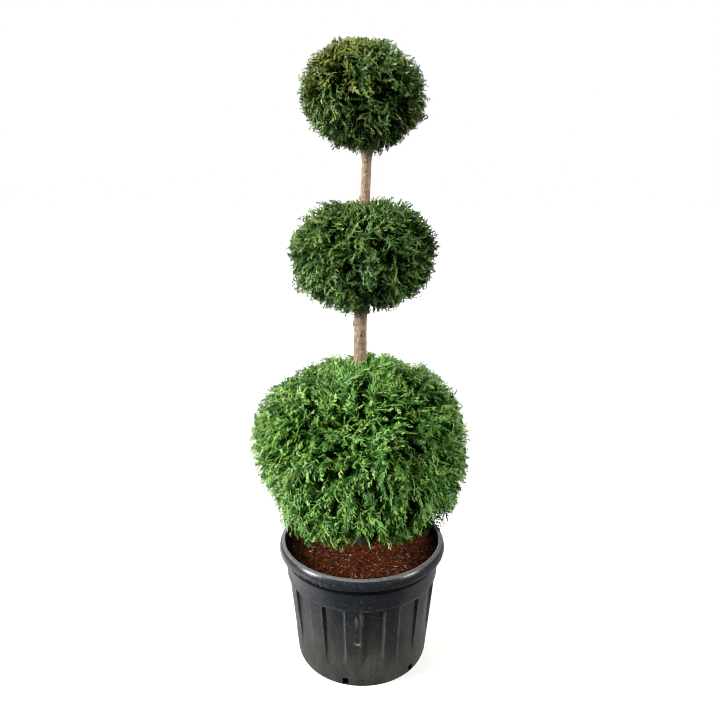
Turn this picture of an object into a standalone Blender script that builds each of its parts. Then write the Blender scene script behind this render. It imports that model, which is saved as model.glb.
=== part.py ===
"""Potted arborvitae, trained as a triple ball topiary, in its ribbed nursery pot.

Metres, +Z up. The origin is the centre of the pot's flat underside, on which the plant stands, and -Y is
the front. One bare trunk runs from the soil to the top ball, and each clipped ball round it is one solid.
"""

import math
import random
from collections import namedtuple

import bmesh
import bpy
from mathutils import Matrix, Vector, noise

TOUCHING_GAP = 0.0003

# The pot: a moulded container with a rolled lip, a plain collar and a fluted wall.
POT_HEIGHT = 0.380
POT_WALL = 0.0035
LIP_OUTER_RADIUS = 0.2505
LIP_INNER_RADIUS = 0.2335
LIP_HEIGHT = 0.030
LIP_ROUND = 0.005
COLLAR_TOP_RADIUS = 0.2350
COLLAR_BOTTOM_RADIUS = 0.2290
COLLAR_BOTTOM_HEIGHT = 0.276
COLLAR_STEP = 0.0036
FOOT_RADIUS = 0.1985
FOOT_ROUND = 0.008
UNDERSIDE_RADIUS = 0.190
FLUTE_COUNT = 12
FLUTE_FIRST_DEG = -82.0
FLUTE_WIDTH_DEG = 18.5
FLUTE_SIDE_DEG = 1.6
FLUTE_DEPTH = 0.0070
FLUTE_TOP_HEIGHT = 0.266
FLUTE_FADE_HEIGHT = 0.120
FLUTE_END_HEIGHT = 0.070
DRAIN_COUNT = 6
DRAIN_FIRST_DEG = -104.0
DRAIN_SIZE = Vector((0.060, 0.018, 0.022))
DRAIN_BOTTOM = 0.005

# The soil: a filled body of red-brown bark, level where the trunk stands.
SOIL_HEIGHT = 0.360
SOIL_COLUMNS = 30
SOIL_RINGS = (0.045, 0.090, 0.140, 0.190)
SOIL_UNEVEN = 0.004
SOIL_TO_WALL = 0.0026

# The trunk: the bare stem, its lean told as axis points (height, x, y) and its girth as (height, radius).
# Its rings lie closest where it shows and where it flares: each stretch is its lower end and its rings.
TRUNK_FOOT_HEIGHT = SOIL_HEIGHT + TOUCHING_GAP
TRUNK_TIP_HEIGHT = 1.700
TRUNK_COLUMNS = 14
TRUNK_STRETCHES = (
    (TRUNK_FOOT_HEIGHT, 4),
    (0.44, 6),
    (0.92, 7),
    (1.08, 4),
    (1.36, 8),
    (1.54, 4),
    (TRUNK_TIP_HEIGHT, 1),
)
TRUNK_AXIS = (
    (0.36, -0.004, 0.000),
    (0.70, -0.008, 0.004),
    (1.00, -0.006, 0.000),
    (1.20, 0.002, -0.004),
    (1.38, 0.008, -0.002),
    (1.50, 0.0115, 0.000),
    (1.70, 0.006, 0.004),
)
TRUNK_GIRTH = (
    (0.36, 0.0210),
    (0.50, 0.0194),
    (0.93, 0.0184),
    (1.08, 0.0180),
    (1.38, 0.0126),
    (1.47, 0.0122),
    (1.51, 0.0165),
    (1.56, 0.0110),
    (1.64, 0.0065),
    (1.70, 0.0030),
)
ROOT_FLARE = 0.014
ROOT_FLARE_HEIGHT = 0.035
ROOT_COUNT = 5
# Knots are old branch scars: height, direction in degrees, how far they stand out and how far they spread.
TRUNK_KNOTS = (
    (1.045, 200.0, 0.0040, 0.018),
    (1.030, 300.0, 0.0025, 0.014),
    (1.385, 185.0, 0.0040, 0.016),
    (1.440, 290.0, 0.0018, 0.012),
    (0.960, 90.0, 0.0030, 0.016),
    (1.455, 60.0, 0.0022, 0.013),
)

# The clipped balls. Height and the two half heights are along Z, and squareness 2 is a true ellipse. The
# core lies core_depth under the clipped face, and the fronds stand out of it to the face.
Ball = namedtuple(
    "Ball",
    "node x height radius rise drop squareness_up squareness_down lumps core_depth core_segments"
    " fronds frond_length frond_width droop seed",
)
BALLS = (
    Ball("foliage_lower", 0.000, 0.655, 0.318, 0.275, 0.262, 2.65, 2.25, 0.020, 0.058, 20,
         172, 0.125, 0.074, 0.40, 11),
    Ball("foliage_middle", 0.002, 1.231, 0.203, 0.153, 0.155, 2.25, 2.05, 0.022, 0.042, 18,
         88, 0.092, 0.060, 0.10, 23),
    Ball("foliage_top", 0.006, 1.632, 0.168, 0.147, 0.139, 2.05, 1.90, 0.020, 0.037, 16,
         66, 0.082, 0.054, 0.05, 37),
)
BALL_LUMPS_ROUND = 2.3
CORE_MARGIN = 0.012
CORE_TUFTS = 0.60
CORE_TUFTS_PER_METRE = 11.0
FROND_SWAY = 0.35
FROND_CURL = (0.04, 0.16)
FROND_SPREAD = (0.85, 1.15)
FROND_TRIES = 6
WELD = 0.000004
FROND_THICKNESS = 0.0050
FROND_OVERSHOOT = 0.012
FOLIAGE_TO_TRUNK = 0.004
FOLIAGE_TO_SOIL = 0.010
FOLIAGE_TO_LIP = 0.012

# Colours are linear base colours, each with its roughness and metallic value.
FINISHES = {
    "pot": ((0.022, 0.024, 0.026, 1.0), 0.50, 0.0),
    "soil": ((0.062, 0.020, 0.010, 1.0), 0.95, 0.0),
    "trunk": ((0.300, 0.220, 0.150, 1.0), 0.85, 0.0),
    "foliage_lower": ((0.055, 0.125, 0.022, 1.0), 0.70, 0.0),
    "foliage_middle": ((0.036, 0.066, 0.020, 1.0), 0.70, 0.0),
    "foliage_top": ((0.033, 0.050, 0.014, 1.0), 0.70, 0.0),
}


def clear_scene():
    for old in list(bpy.data.objects):
        bpy.data.objects.remove(old, do_unlink=True)


def finish_of(node):
    colour, roughness, metallic = FINISHES[node]
    material = bpy.data.materials.new(node)
    material.use_nodes = True
    shader = material.node_tree.nodes["Principled BSDF"]
    shader.inputs["Base Color"].default_value = colour
    shader.inputs["Roughness"].default_value = roughness
    shader.inputs["Metallic"].default_value = metallic
    return material


def make_object(name, bm, smooth_deg=None):
    """Closes the bmesh into a named object in the scene, shaded smooth up to smooth_deg if that is given."""
    bmesh.ops.recalc_face_normals(bm, faces=bm.faces)
    mesh = bpy.data.meshes.new(name)
    bm.to_mesh(mesh)
    bm.free()
    if smooth_deg is not None:
        mesh.shade_smooth()
        mesh.set_sharp_from_angle(angle=math.radians(smooth_deg))
    made = bpy.data.objects.new(name, mesh)
    bpy.context.scene.collection.objects.link(made)
    return made


def read_curve(points, height):
    """Reads the values at a height from (height, value, ...) points, eased from point to point."""
    if height <= points[0][0]:
        return points[0][1:]
    for low, high in zip(points, points[1:]):
        if height <= high[0]:
            share = (height - low[0]) / (high[0] - low[0])
            eased = share * share * (3.0 - 2.0 * share)
            return tuple(a + (b - a) * eased for a, b in zip(low[1:], high[1:]))
    return points[-1][1:]


def stack_rings(bm, rings):
    """Joins rings of points, from the first to the last, into one closed skin with flat ends."""
    loops = [[bm.verts.new(point) for point in ring] for ring in rings]
    for lower, upper in zip(loops, loops[1:]):
        for i in range(len(lower)):
            j = (i + 1) % len(lower)
            bm.faces.new((lower[i], lower[j], upper[j], upper[i]))
    bm.faces.new(reversed(loops[0]))
    bm.faces.new(loops[-1])


def apply_boolean(target, operation, tool=None, collection=None, solver="EXACT"):
    """Applies one Boolean to the target and removes what it was given."""
    step = target.modifiers.new("Boolean", "BOOLEAN")
    step.operation = operation
    step.solver = solver
    if collection is None:
        step.object = tool
    else:
        step.operand_type = "COLLECTION"
        step.collection = collection
    bpy.context.view_layer.update()
    evaluated = target.evaluated_get(bpy.context.evaluated_depsgraph_get())
    result = bpy.data.meshes.new_from_object(evaluated)
    target.modifiers.clear()
    target.data = result
    used = [tool] if collection is None else list(collection.objects)
    for piece in used:
        bpy.data.objects.remove(piece, do_unlink=True)
    if collection is not None:
        bpy.data.collections.remove(collection)


# Pot


def flute_columns():
    """The directions round the pot with, for each, how much of the flute's depth it takes."""
    pitch = 360.0 / FLUTE_COUNT
    half = FLUTE_WIDTH_DEG / 2.0
    columns = []
    for i in range(FLUTE_COUNT):
        centre = FLUTE_FIRST_DEG + i * pitch
        for offset, share in (
            (-half, 0.0),
            (-half + FLUTE_SIDE_DEG, 1.0),
            (half - FLUTE_SIDE_DEG, 1.0),
            (half, 0.0),
        ):
            columns.append((math.radians(centre + offset), share))
    return columns


def wall_radius(height):
    """The outside radius of the fluted wall's ribs, which taper evenly from the collar to the foot."""
    share = height / COLLAR_BOTTOM_HEIGHT
    top_radius = COLLAR_BOTTOM_RADIUS - COLLAR_STEP
    return FOOT_RADIUS + (top_radius - FOOT_RADIUS) * share


def pot_ring(radius, height, flute_depth=0.0):
    ring = []
    for angle, share in flute_columns():
        reach = radius - flute_depth * share
        ring.append(Vector((reach * math.cos(angle), reach * math.sin(angle), height)))
    return ring


def wall_stations(inset):
    """Radius, height and flute depth up the fluted wall, from foot to collar, set in by inset."""
    stations = []
    for height, depth in (
        (FLUTE_END_HEIGHT, 0.0),
        (FLUTE_FADE_HEIGHT, FLUTE_DEPTH * 0.7),
        (FLUTE_TOP_HEIGHT, FLUTE_DEPTH),
    ):
        stations.append((wall_radius(height) - inset, height, depth))
    return stations


def make_pot():
    lip_bottom = POT_HEIGHT - LIP_HEIGHT
    outside = [
        (UNDERSIDE_RADIUS, 0.0, 0.0),
        (UNDERSIDE_RADIUS + 0.7 * FOOT_ROUND, 0.3 * FOOT_ROUND, 0.0),
        (wall_radius(FOOT_ROUND), FOOT_ROUND, 0.0),
    ]
    outside += wall_stations(0.0)
    outside += [
        (wall_radius(COLLAR_BOTTOM_HEIGHT), COLLAR_BOTTOM_HEIGHT, 0.0),
        (COLLAR_BOTTOM_RADIUS, COLLAR_BOTTOM_HEIGHT + 0.001, 0.0),
        (COLLAR_TOP_RADIUS, lip_bottom, 0.0),
        (LIP_OUTER_RADIUS - 0.002, lip_bottom + 0.001, 0.0),
        (LIP_OUTER_RADIUS, lip_bottom + LIP_ROUND, 0.0),
        (LIP_OUTER_RADIUS, POT_HEIGHT - LIP_ROUND, 0.0),
        (LIP_OUTER_RADIUS - LIP_ROUND, POT_HEIGHT, 0.0),
        (LIP_INNER_RADIUS + LIP_ROUND, POT_HEIGHT, 0.0),
        (LIP_INNER_RADIUS, POT_HEIGHT - LIP_ROUND, 0.0),
    ]
    inside = [
        (COLLAR_TOP_RADIUS - POT_WALL, lip_bottom, 0.0),
        (COLLAR_BOTTOM_RADIUS - POT_WALL, COLLAR_BOTTOM_HEIGHT, 0.0),
    ]
    inside += reversed(wall_stations(POT_WALL))
    inside += [
        (wall_radius(FOOT_ROUND) - POT_WALL, FOOT_ROUND, 0.0),
        (UNDERSIDE_RADIUS, POT_WALL, 0.0),
    ]
    bm = bmesh.new()
    stack_rings(bm, [pot_ring(*station) for station in outside + inside])
    pot = make_object("pot", bm, smooth_deg=35.0)
    apply_boolean(pot, "DIFFERENCE", tool=make_drain_cutter())
    pot.data.materials.clear()
    pot.data.materials.append(finish_of("pot"))
    return pot


def make_drain_cutter():
    """One block for each drain slot, on the corner between the wall and the underside."""
    bm = bmesh.new()
    for i in range(DRAIN_COUNT):
        angle = math.radians(DRAIN_FIRST_DEG + i * 360.0 / DRAIN_COUNT)
        turn = Matrix.Rotation(angle, 4, "Z")
        place = Matrix.Translation((FOOT_RADIUS, 0.0, DRAIN_BOTTOM + DRAIN_SIZE.z / 2.0))
        size = Matrix.Diagonal((*DRAIN_SIZE, 1.0))
        bmesh.ops.create_cube(bm, size=1.0, matrix=turn @ place @ size)
    cutter = make_object("drain_cutter", bm)
    cutter.hide_render = True
    cutter.display_type = "WIRE"
    return cutter


# Soil


def soil_ring(radius, height, uneven=0.0):
    ring = []
    for i in range(SOIL_COLUMNS):
        angle = 2.0 * math.pi * i / SOIL_COLUMNS
        spot = Vector((radius * math.cos(angle), radius * math.sin(angle), 0.0))
        lift = uneven * noise.noise(spot * 14.0 + Vector((3.0, 1.0, 5.0)))
        ring.append(Vector((spot.x, spot.y, height + lift)))
    return ring


def make_soil():
    clear = POT_WALL + SOIL_TO_WALL
    lip_bottom = POT_HEIGHT - LIP_HEIGHT
    sides = (
        (UNDERSIDE_RADIUS - clear, POT_WALL + TOUCHING_GAP),
        (wall_radius(FOOT_ROUND) - FLUTE_DEPTH - clear, FOOT_ROUND),
        (wall_radius(FLUTE_TOP_HEIGHT) - FLUTE_DEPTH - clear, FLUTE_TOP_HEIGHT),
        (COLLAR_BOTTOM_RADIUS - 2.0 * clear, 2.0 * COLLAR_BOTTOM_HEIGHT - FLUTE_TOP_HEIGHT),
        (COLLAR_TOP_RADIUS - 1.3 * clear, lip_bottom),
    )
    rings = [soil_ring(radius, height) for radius, height in sides]
    for radius in reversed(SOIL_RINGS[1:]):
        rings.append(soil_ring(radius, SOIL_HEIGHT, SOIL_UNEVEN))
    rings.append(soil_ring(SOIL_RINGS[0], SOIL_HEIGHT))
    bm = bmesh.new()
    stack_rings(bm, rings)
    soil = make_object("soil", bm, smooth_deg=40.0)
    soil.data.materials.append(finish_of("soil"))
    return soil


# Trunk


def trunk_axis(height):
    x, y = read_curve(TRUNK_AXIS, height)
    return Vector((x, y, height))


def trunk_radius(height, angle):
    """The trunk's girth at a height and direction, with its root flare and its knots."""
    radius = read_curve(TRUNK_GIRTH, height)[0]
    above = (height - SOIL_HEIGHT) / ROOT_FLARE_HEIGHT
    lobes = 0.65 + 0.35 * math.cos(ROOT_COUNT * angle + 0.6)
    radius += ROOT_FLARE * lobes * math.exp(-above)
    radius += 0.0006 * math.sin(3.0 * angle + 9.0 * height)
    for knot_height, direction, stand, spread in TRUNK_KNOTS:
        off = angle - math.radians(direction)
        round_off = math.atan2(math.sin(off), math.cos(off)) * radius
        away = math.hypot(round_off, height - knot_height) / spread
        radius += stand * math.exp(-4.0 * away * away)
    return radius


def trunk_rings(clearance=0.0):
    """The trunk's rings from foot to tip, grown all round and past the tip by clearance."""
    heights = []
    for (low, count), (high, _) in zip(TRUNK_STRETCHES, TRUNK_STRETCHES[1:]):
        heights += [low + (high - low) * i / count for i in range(count)]
    heights.append(TRUNK_TIP_HEIGHT)
    rings = []
    for height in heights:
        centre = trunk_axis(height)
        ring = []
        for j in range(TRUNK_COLUMNS):
            angle = 2.0 * math.pi * j / TRUNK_COLUMNS
            reach = trunk_radius(height, angle) + clearance
            ring.append(centre + Vector((reach * math.cos(angle), reach * math.sin(angle), 0.0)))
        rings.append(ring)
    for point in rings[-1]:
        point.z += clearance
    return rings


def make_trunk():
    bm = bmesh.new()
    stack_rings(bm, trunk_rings())
    trunk = make_object("trunk", bm, smooth_deg=60.0)
    trunk.data.materials.append(finish_of("trunk"))
    return trunk


def make_trunk_cutter():
    bm = bmesh.new()
    stack_rings(bm, trunk_rings(clearance=1.5 * TOUCHING_GAP))
    return make_object("trunk_cutter", bm)


# Clipped balls


def ball_point(ball, level, angle, depth=0.0):
    """A point of the clipped face at a level from -1, the lowest, to 1, or at a depth under the face."""
    reach = (ball.rise if level > 0.0 else ball.drop) - depth
    squareness = ball.squareness_up if level > 0.0 else ball.squareness_down
    across = (1.0 - abs(level) ** squareness) ** (1.0 / squareness)
    flat = Vector((math.cos(angle), math.sin(angle), 0.0)) * (ball.radius - depth) * across
    point = flat + Vector((0.0, 0.0, reach * level))
    centre = Vector((ball.x, 0.0, ball.height))
    lump = ball.lumps * noise.noise(point.normalized() * BALL_LUMPS_ROUND + Vector((ball.seed, 0.0, 0.0)))
    tuft = depth * CORE_TUFTS * noise.noise((centre + point) * CORE_TUFTS_PER_METRE)
    return centre + point * (1.0 + (lump + tuft) / ball.radius)


def inside_ball(ball, point, depth):
    """Whether a point lies under the clipped face by more than a depth."""
    level = point.z - ball.height
    reach = (ball.rise if level > 0.0 else ball.drop) - depth
    squareness = ball.squareness_up if level > 0.0 else ball.squareness_down
    across = math.hypot(point.x - ball.x, point.y) / (ball.radius - depth)
    return across ** squareness + abs(level / reach) ** squareness < 1.0


def make_core(ball):
    """The dense inner body of a ball, cut clear of the trunk that runs through it."""
    bands = ball.core_segments * 5 // 8
    rings = []
    for i in range(bands):
        level = -math.cos(math.pi * (i + 0.5) / bands)
        ring = []
        for j in range(ball.core_segments):
            angle = 2.0 * math.pi * (j + 0.5 * (i % 2)) / ball.core_segments
            ring.append(ball_point(ball, level, angle, ball.core_depth))
        rings.append(ring)
    bm = bmesh.new()
    stack_rings(bm, rings)
    core = make_object(ball.node, bm)
    apply_boolean(core, "DIFFERENCE", tool=make_trunk_cutter())
    return core


def frond_mesh(length, width, curl):
    """One flat frond: a toothed blade along +X in the XY plane on a slim stalk, that curls to -Z.

    Its outline is told in shares of its length and width, and both faces rise to one hub on the rib.
    """
    right = ((0.00, 0.00), (0.42, -0.07), (0.60, -0.50), (0.71, -0.15), (0.88, -0.30))
    left = ((1.00, 0.00), (0.78, 0.42), (0.69, 0.14), (0.42, 0.07))
    hub_along = 0.70

    def place(along, across, lift):
        drop = curl * length * along * along
        return Vector((along * length, across * width, lift - drop))

    bm = bmesh.new()
    edge = [bm.verts.new(place(along, across, 0.0)) for along, across in right + left]
    for lift in (0.5 * FROND_THICKNESS, -0.5 * FROND_THICKNESS):
        hub = bm.verts.new(place(hub_along, 0.0, lift))
        for i in range(len(edge)):
            bm.faces.new((hub, edge[i], edge[(i + 1) % len(edge)]))
    return bm


def in_own_space(point):
    """Whether a point of a frond keeps clear of the trunk, the soil and the pot's lip."""
    axis = trunk_axis(min(point.z, TRUNK_TIP_HEIGHT))
    offset = point - axis
    angle = math.atan2(offset.y, offset.x)
    from_axis = math.hypot(offset.x, offset.y)
    near_tip = point.z > TRUNK_TIP_HEIGHT + FOLIAGE_TO_TRUNK
    if not near_tip and from_axis < trunk_radius(point.z, angle) + FOLIAGE_TO_TRUNK:
        return False
    if point.z < SOIL_HEIGHT + FOLIAGE_TO_SOIL:
        return False
    over_lip = math.hypot(point.x, point.y) > LIP_INNER_RADIUS - FOLIAGE_TO_LIP
    return not (over_lip and point.z < POT_HEIGHT + FOLIAGE_TO_LIP)


def frond_is_clear(bm):
    for edge in bm.edges:
        start, end = edge.verts[0].co, edge.verts[1].co
        for share in (0.0, 0.25, 0.5, 0.75):
            if not in_own_space(start.lerp(end, share)):
                return False
    return True


def trim_slivers(mesh):
    """Welds points closer than WELD and cuts off flaps of no thickness, which a union of blades can leave."""
    bm = bmesh.new()
    bm.from_mesh(mesh)
    bmesh.ops.remove_doubles(bm, verts=bm.verts, dist=WELD)
    bmesh.ops.triangulate(bm, faces=bm.faces)
    seen = {}
    for face in bm.faces:
        seen.setdefault(frozenset(face.verts), []).append(face)
    flaps = [face for faces in seen.values() if len(faces) > 1 for face in faces]
    bmesh.ops.delete(bm, geom=flaps, context="FACES_ONLY")
    bmesh.ops.delete(bm, geom=[edge for edge in bm.edges if not edge.link_faces], context="EDGES")
    bmesh.ops.delete(bm, geom=[vert for vert in bm.verts if not vert.link_faces], context="VERTS")
    bm.to_mesh(mesh)
    bm.free()


def place_frond(ball, level, angle, draw):
    """The placed mesh of one frond whose tip reaches the clipped face, or None where it has no room."""
    tip = ball_point(ball, level, angle)
    outward = (tip - ball_point(ball, level, angle, ball.core_depth)).normalized()
    tip += outward * draw.uniform(-0.5, 1.0) * FROND_OVERSHOOT
    sway = Vector((draw.uniform(-1.0, 1.0), draw.uniform(-1.0, 1.0), draw.uniform(-1.0, 1.0)))
    droop = Vector((0.0, 0.0, -ball.droop * (1.0 - max(level, 0.0))))
    heading = (outward + sway * FROND_SWAY + droop).normalized()
    length = ball.frond_length * draw.uniform(*FROND_SPREAD)
    width = ball.frond_width * draw.uniform(*FROND_SPREAD)
    root = tip - heading * length
    if not inside_ball(ball, root, ball.core_depth + CORE_MARGIN):
        return None
    side = heading.cross(Vector((0.0, 0.0, 1.0)) + sway.normalized()).normalized()
    turn = Matrix((heading, side, heading.cross(side))).transposed().to_4x4()
    bm = frond_mesh(length, width, draw.uniform(*FROND_CURL))
    bmesh.ops.transform(bm, matrix=Matrix.Translation(root) @ turn, verts=bm.verts)
    if frond_is_clear(bm):
        return bm
    bm.free()
    return None


def make_ball(ball):
    """Core and fronds of one ball, joined by one union into one closed solid."""
    draw = random.Random(ball.seed)
    core = make_core(ball)
    fronds = bpy.data.collections.new(ball.node + "_fronds")
    bpy.context.scene.collection.children.link(fronds)
    golden = math.pi * (3.0 - math.sqrt(5.0))
    for i in range(ball.fronds):
        level = 1.0 - 2.0 * (i + 0.5) / ball.fronds
        for attempt in range(FROND_TRIES):
            bm = place_frond(ball, level, (i + 0.02 * attempt) * golden, draw)
            if bm is not None:
                frond = make_object(f"{ball.node}_frond_{i:03d}", bm)
                bpy.context.scene.collection.objects.unlink(frond)
                fronds.objects.link(frond)
                break
    apply_boolean(core, "UNION", collection=fronds, solver="MANIFOLD")
    trim_slivers(core.data)
    core.data.materials.clear()
    core.data.materials.append(finish_of(ball.node))
    return core


clear_scene()
make_pot()
make_soil()
make_trunk()
for clipped_ball in BALLS:
    make_ball(clipped_ball)
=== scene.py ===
import math
import random
from collections import namedtuple

import bmesh
import bpy
import numpy as np
from mathutils import Matrix, Vector, kdtree, noise


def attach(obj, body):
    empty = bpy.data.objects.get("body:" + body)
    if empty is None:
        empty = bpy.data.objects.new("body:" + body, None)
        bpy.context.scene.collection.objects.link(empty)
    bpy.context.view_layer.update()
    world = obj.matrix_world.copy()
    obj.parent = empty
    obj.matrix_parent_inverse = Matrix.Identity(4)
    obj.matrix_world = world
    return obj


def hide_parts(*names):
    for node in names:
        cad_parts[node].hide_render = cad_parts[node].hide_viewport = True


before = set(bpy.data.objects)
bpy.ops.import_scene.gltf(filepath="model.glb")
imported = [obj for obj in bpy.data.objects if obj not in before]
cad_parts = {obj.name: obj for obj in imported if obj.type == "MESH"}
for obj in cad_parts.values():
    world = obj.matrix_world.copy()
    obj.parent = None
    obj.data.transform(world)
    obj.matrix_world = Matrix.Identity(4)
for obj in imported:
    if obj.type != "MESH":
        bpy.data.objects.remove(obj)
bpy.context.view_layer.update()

# Studio
# White air over a white floor, on which the pot stands. A soft light comes from the left, with weaker ones
# from the right and from behind, the room is dimmer in front, and the camera looks down a little.
CAMERA_PLACE = (-0.006, -1.79, 1.41)
CAMERA_DOWN_DEG = 14.8
CAMERA_LENS_MM = 32.5
CAMERA_SENSOR_MM = 36.0
AIR_COLOUR = (0.97, 0.985, 1.0)
AIR_BRIGHT_SIDE = (-0.35, 0.85, 0.20)
AIR_LIGHT_FRONT = 0.16
AIR_LIGHT_BEHIND = 0.46
WHITE = (1.0, 1.0, 1.0)
BLACK = (0.0, 0.0, 0.0)
# Each light's name, the side it shines from, its strength, how many degrees wide it is and its colour.
LIGHTS = (
    ("light_left", (-1.00, -0.33, 0.40), 7.5, 14.0, (1.0, 0.985, 0.95)),
    ("light_right", (0.88, -0.38, 0.42), 3.3, 18.0, (1.0, 0.98, 0.90)),
    ("light_above", (-0.60, -0.32, 1.00), 0.1, 30.0, WHITE),
    ("light_behind", (-0.15, 0.95, 0.24), 1.0, 30.0, WHITE),
)
FLOOR_RADIUS = 60.0
FLOOR_BELOW = 0.0003
FLOOR_WHITE = (0.65, 0.65, 0.65)
FLOOR_GLOW = 0.55
# Cards lie on the floor for the sheen on the pot, a bright and a dim one to the left and a dim one to the
# right, seen by nothing but the sheen: each one's name, two corners and glow.
CARDS = (
    ("card_left", (-2.40, -0.60), (-0.50, 0.90), 1.72),
    ("card_near_left", (-0.50, -0.40), (-0.28, 0.60), 0.60),
    ("card_right", (0.28, -0.30), (2.20, 1.10), 0.43),
)
CARD_HEIGHT = 0.002

scene = bpy.context.scene
scene.view_settings.view_transform = "Standard"
scene.cycles.filter_width = 1.0


def place_object(name, data):
    placed = bpy.data.objects.new(name, data)
    scene.collection.objects.link(placed)
    return placed


def finished_mesh(bm, name):
    mesh = bpy.data.meshes.new(name)
    bm.to_mesh(mesh)
    bm.free()
    return mesh


def set_input(node, name, value):
    """Gives a node's input a number, a place, a colour of three numbers or another node's output."""
    socket = node.inputs[name]
    if isinstance(value, bpy.types.NodeSocket):
        node.id_data.links.new(value, socket)
    else:
        socket.default_value = (*value, 1.0) if socket.type == "RGBA" else value


def add_node(tree, kind, inputs, **settings):
    made = tree.nodes.new(kind)
    for name, value in settings.items():
        setattr(made, name, value)
    for name, value in inputs.items():
        set_input(made, name, value)
    return made


def ramp(value, low, high, start=0.0, end=1.0):
    """Start where a node's output is below low and end where it is above high, eased between them."""
    inputs = {"Value": value, "From Min": low, "From Max": high, "To Min": start, "To Max": end}
    made = add_node(value.id_data, "ShaderNodeMapRange", inputs, interpolation_type="SMOOTHSTEP")
    return made.outputs["Result"]


def paint(material, inputs):
    """Gives inputs of the material's one shader their values, or nodes' outputs that vary over it."""
    for name, value in inputs.items():
        set_input(material.node_tree.nodes["Principled BSDF"], name, value)


def new_material(name, roughness, specular, colour=None):
    material = bpy.data.materials.new(name)
    material.use_nodes = True
    paint(material, {"Roughness": roughness, "Specular IOR Level": specular})
    if colour is not None:
        paint(material, {"Base Color": colour})
    return material


camera = place_object("camera", bpy.data.cameras.new("camera"))
camera.data.lens = CAMERA_LENS_MM
camera.data.sensor_width = CAMERA_SENSOR_MM
camera.location = CAMERA_PLACE
camera.rotation_euler = (math.radians(90.0 - CAMERA_DOWN_DEG), 0.0, 0.0)
scene.camera = camera

scene.world = bpy.data.worlds.new("air")
scene.world.use_nodes = True
air = scene.world.node_tree
towards = add_node(air, "ShaderNodeTexCoord", {}).outputs["Generated"]
behind = add_node(air, "ShaderNodeVectorMath", {0: towards, 1: AIR_BRIGHT_SIDE}, operation="DOT_PRODUCT")
lighting = air.nodes["Background"]
set_input(lighting, "Color", AIR_COLOUR)
set_input(lighting, "Strength", ramp(behind.outputs["Value"], -0.7, 0.8, AIR_LIGHT_FRONT, AIR_LIGHT_BEHIND))
seen = add_node(air, "ShaderNodeBackground", {"Color": WHITE, "Strength": 1.0})
to_camera = add_node(air, "ShaderNodeLightPath", {}).outputs["Is Camera Ray"]
shown = add_node(air, "ShaderNodeMixShader", {0: to_camera, 1: lighting.outputs[0], 2: seen.outputs[0]})
set_input(air.nodes["World Output"], "Surface", shown.outputs[0])

for name, source, strength, width_deg, colour in LIGHTS:
    lamp = bpy.data.lights.new(name, "SUN")
    lamp.energy = strength
    lamp.angle = math.radians(width_deg)
    lamp.color = colour
    place_object(name, lamp).rotation_euler = Vector(source).to_track_quat("Z", "Y").to_euler()


def lay_glowing(name, bm, material, glow):
    """A surface of the setting that glows white, but lights no matt surface."""
    paint(material, {"Emission Color": WHITE, "Emission Strength": glow})
    laid = place_object(name, finished_mesh(bm, name))
    laid.data.materials.append(material)
    laid.visible_diffuse = False
    return laid


floor_bm = bmesh.new()
bmesh.ops.create_circle(floor_bm, cap_ends=True, segments=128, radius=FLOOR_RADIUS)
bmesh.ops.translate(floor_bm, verts=floor_bm.verts, vec=(0.0, 0.0, -FLOOR_BELOW))
floor = lay_glowing("floor", floor_bm, new_material("floor_white", 1.0, 0.0, FLOOR_WHITE), FLOOR_GLOW)
floor.visible_glossy = False

for name, (left, front), (right, back), glow in CARDS:
    card_bm = bmesh.new()
    bmesh.ops.create_grid(card_bm, x_segments=1, y_segments=1, size=0.5)
    card_middle = (0.5 * (right + left), 0.5 * (back + front), CARD_HEIGHT)
    bmesh.ops.scale(card_bm, verts=card_bm.verts, vec=(right - left, back - front, 1.0))
    bmesh.ops.translate(card_bm, verts=card_bm.verts, vec=card_middle)
    card = lay_glowing(name, card_bm, new_material(name, 0.5, 0.5, BLACK), glow)
    card.visible_camera = False
    card.visible_shadow = False

# Pot
# The nursery container is one blow-moulded shell of black polyethylene, a constant wall with a rolled lip, a
# plain collar under it, twelve pressed flutes that fade out towards the foot, and six drain slots.
POT_HEIGHT = 0.380
POT_WALL = 0.0035
LIP_OUTER_RADIUS = 0.2505
LIP_INNER_RADIUS = 0.2335
LIP_BOTTOM = 0.350
LIP_CREST = 0.0040
COLLAR_TOP_RADIUS = 0.2350
COLLAR_BOTTOM_RADIUS = 0.2290
COLLAR_BOTTOM = 0.276
COLLAR_STEP = 0.0036
COLLAR_WORN_HIGHLIGHT = 0.8
FOOT_RADIUS = 0.1985
FOOT_ROUND = 0.008
UNDERSIDE_RADIUS = 0.190
# The heights of the rings of the wall, closest where the flutes begin and end: from, to and how many.
WALL_RINGS = ((0.060, 0.130, 12), (0.145, 0.235, 7), (0.245, 0.273, 13))
WALL_LEAST_RADIUS = 0.15
FLUTE_COUNT = 12
FLUTE_PITCH_DEG = 360.0 / FLUTE_COUNT
FLUTE_FIRST_DEG = -82.0
FLUTE_HALF_DEG = 9.25
FLUTE_DEPTH = 0.0090
FLUTE_TOP = 0.270
FLUTE_CORNER = 0.008
FLUTE_SIDE_RUN = 0.0075
# How deep the flutes are at each height, as a share.
FLUTE_FADE = ((0.070, 0.0), (0.120, 0.7), (0.230, 1.0))
FLUTE_WORN_HIGHLIGHT_WIDTH = 0.22
FLUTE_WORN_HIGHLIGHT_HEIGHTS = (0.075, 0.125)
POT_COLUMNS_PER_FLUTE = 40
POT_COLUMNS = FLUTE_COUNT * POT_COLUMNS_PER_FLUTE
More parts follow.
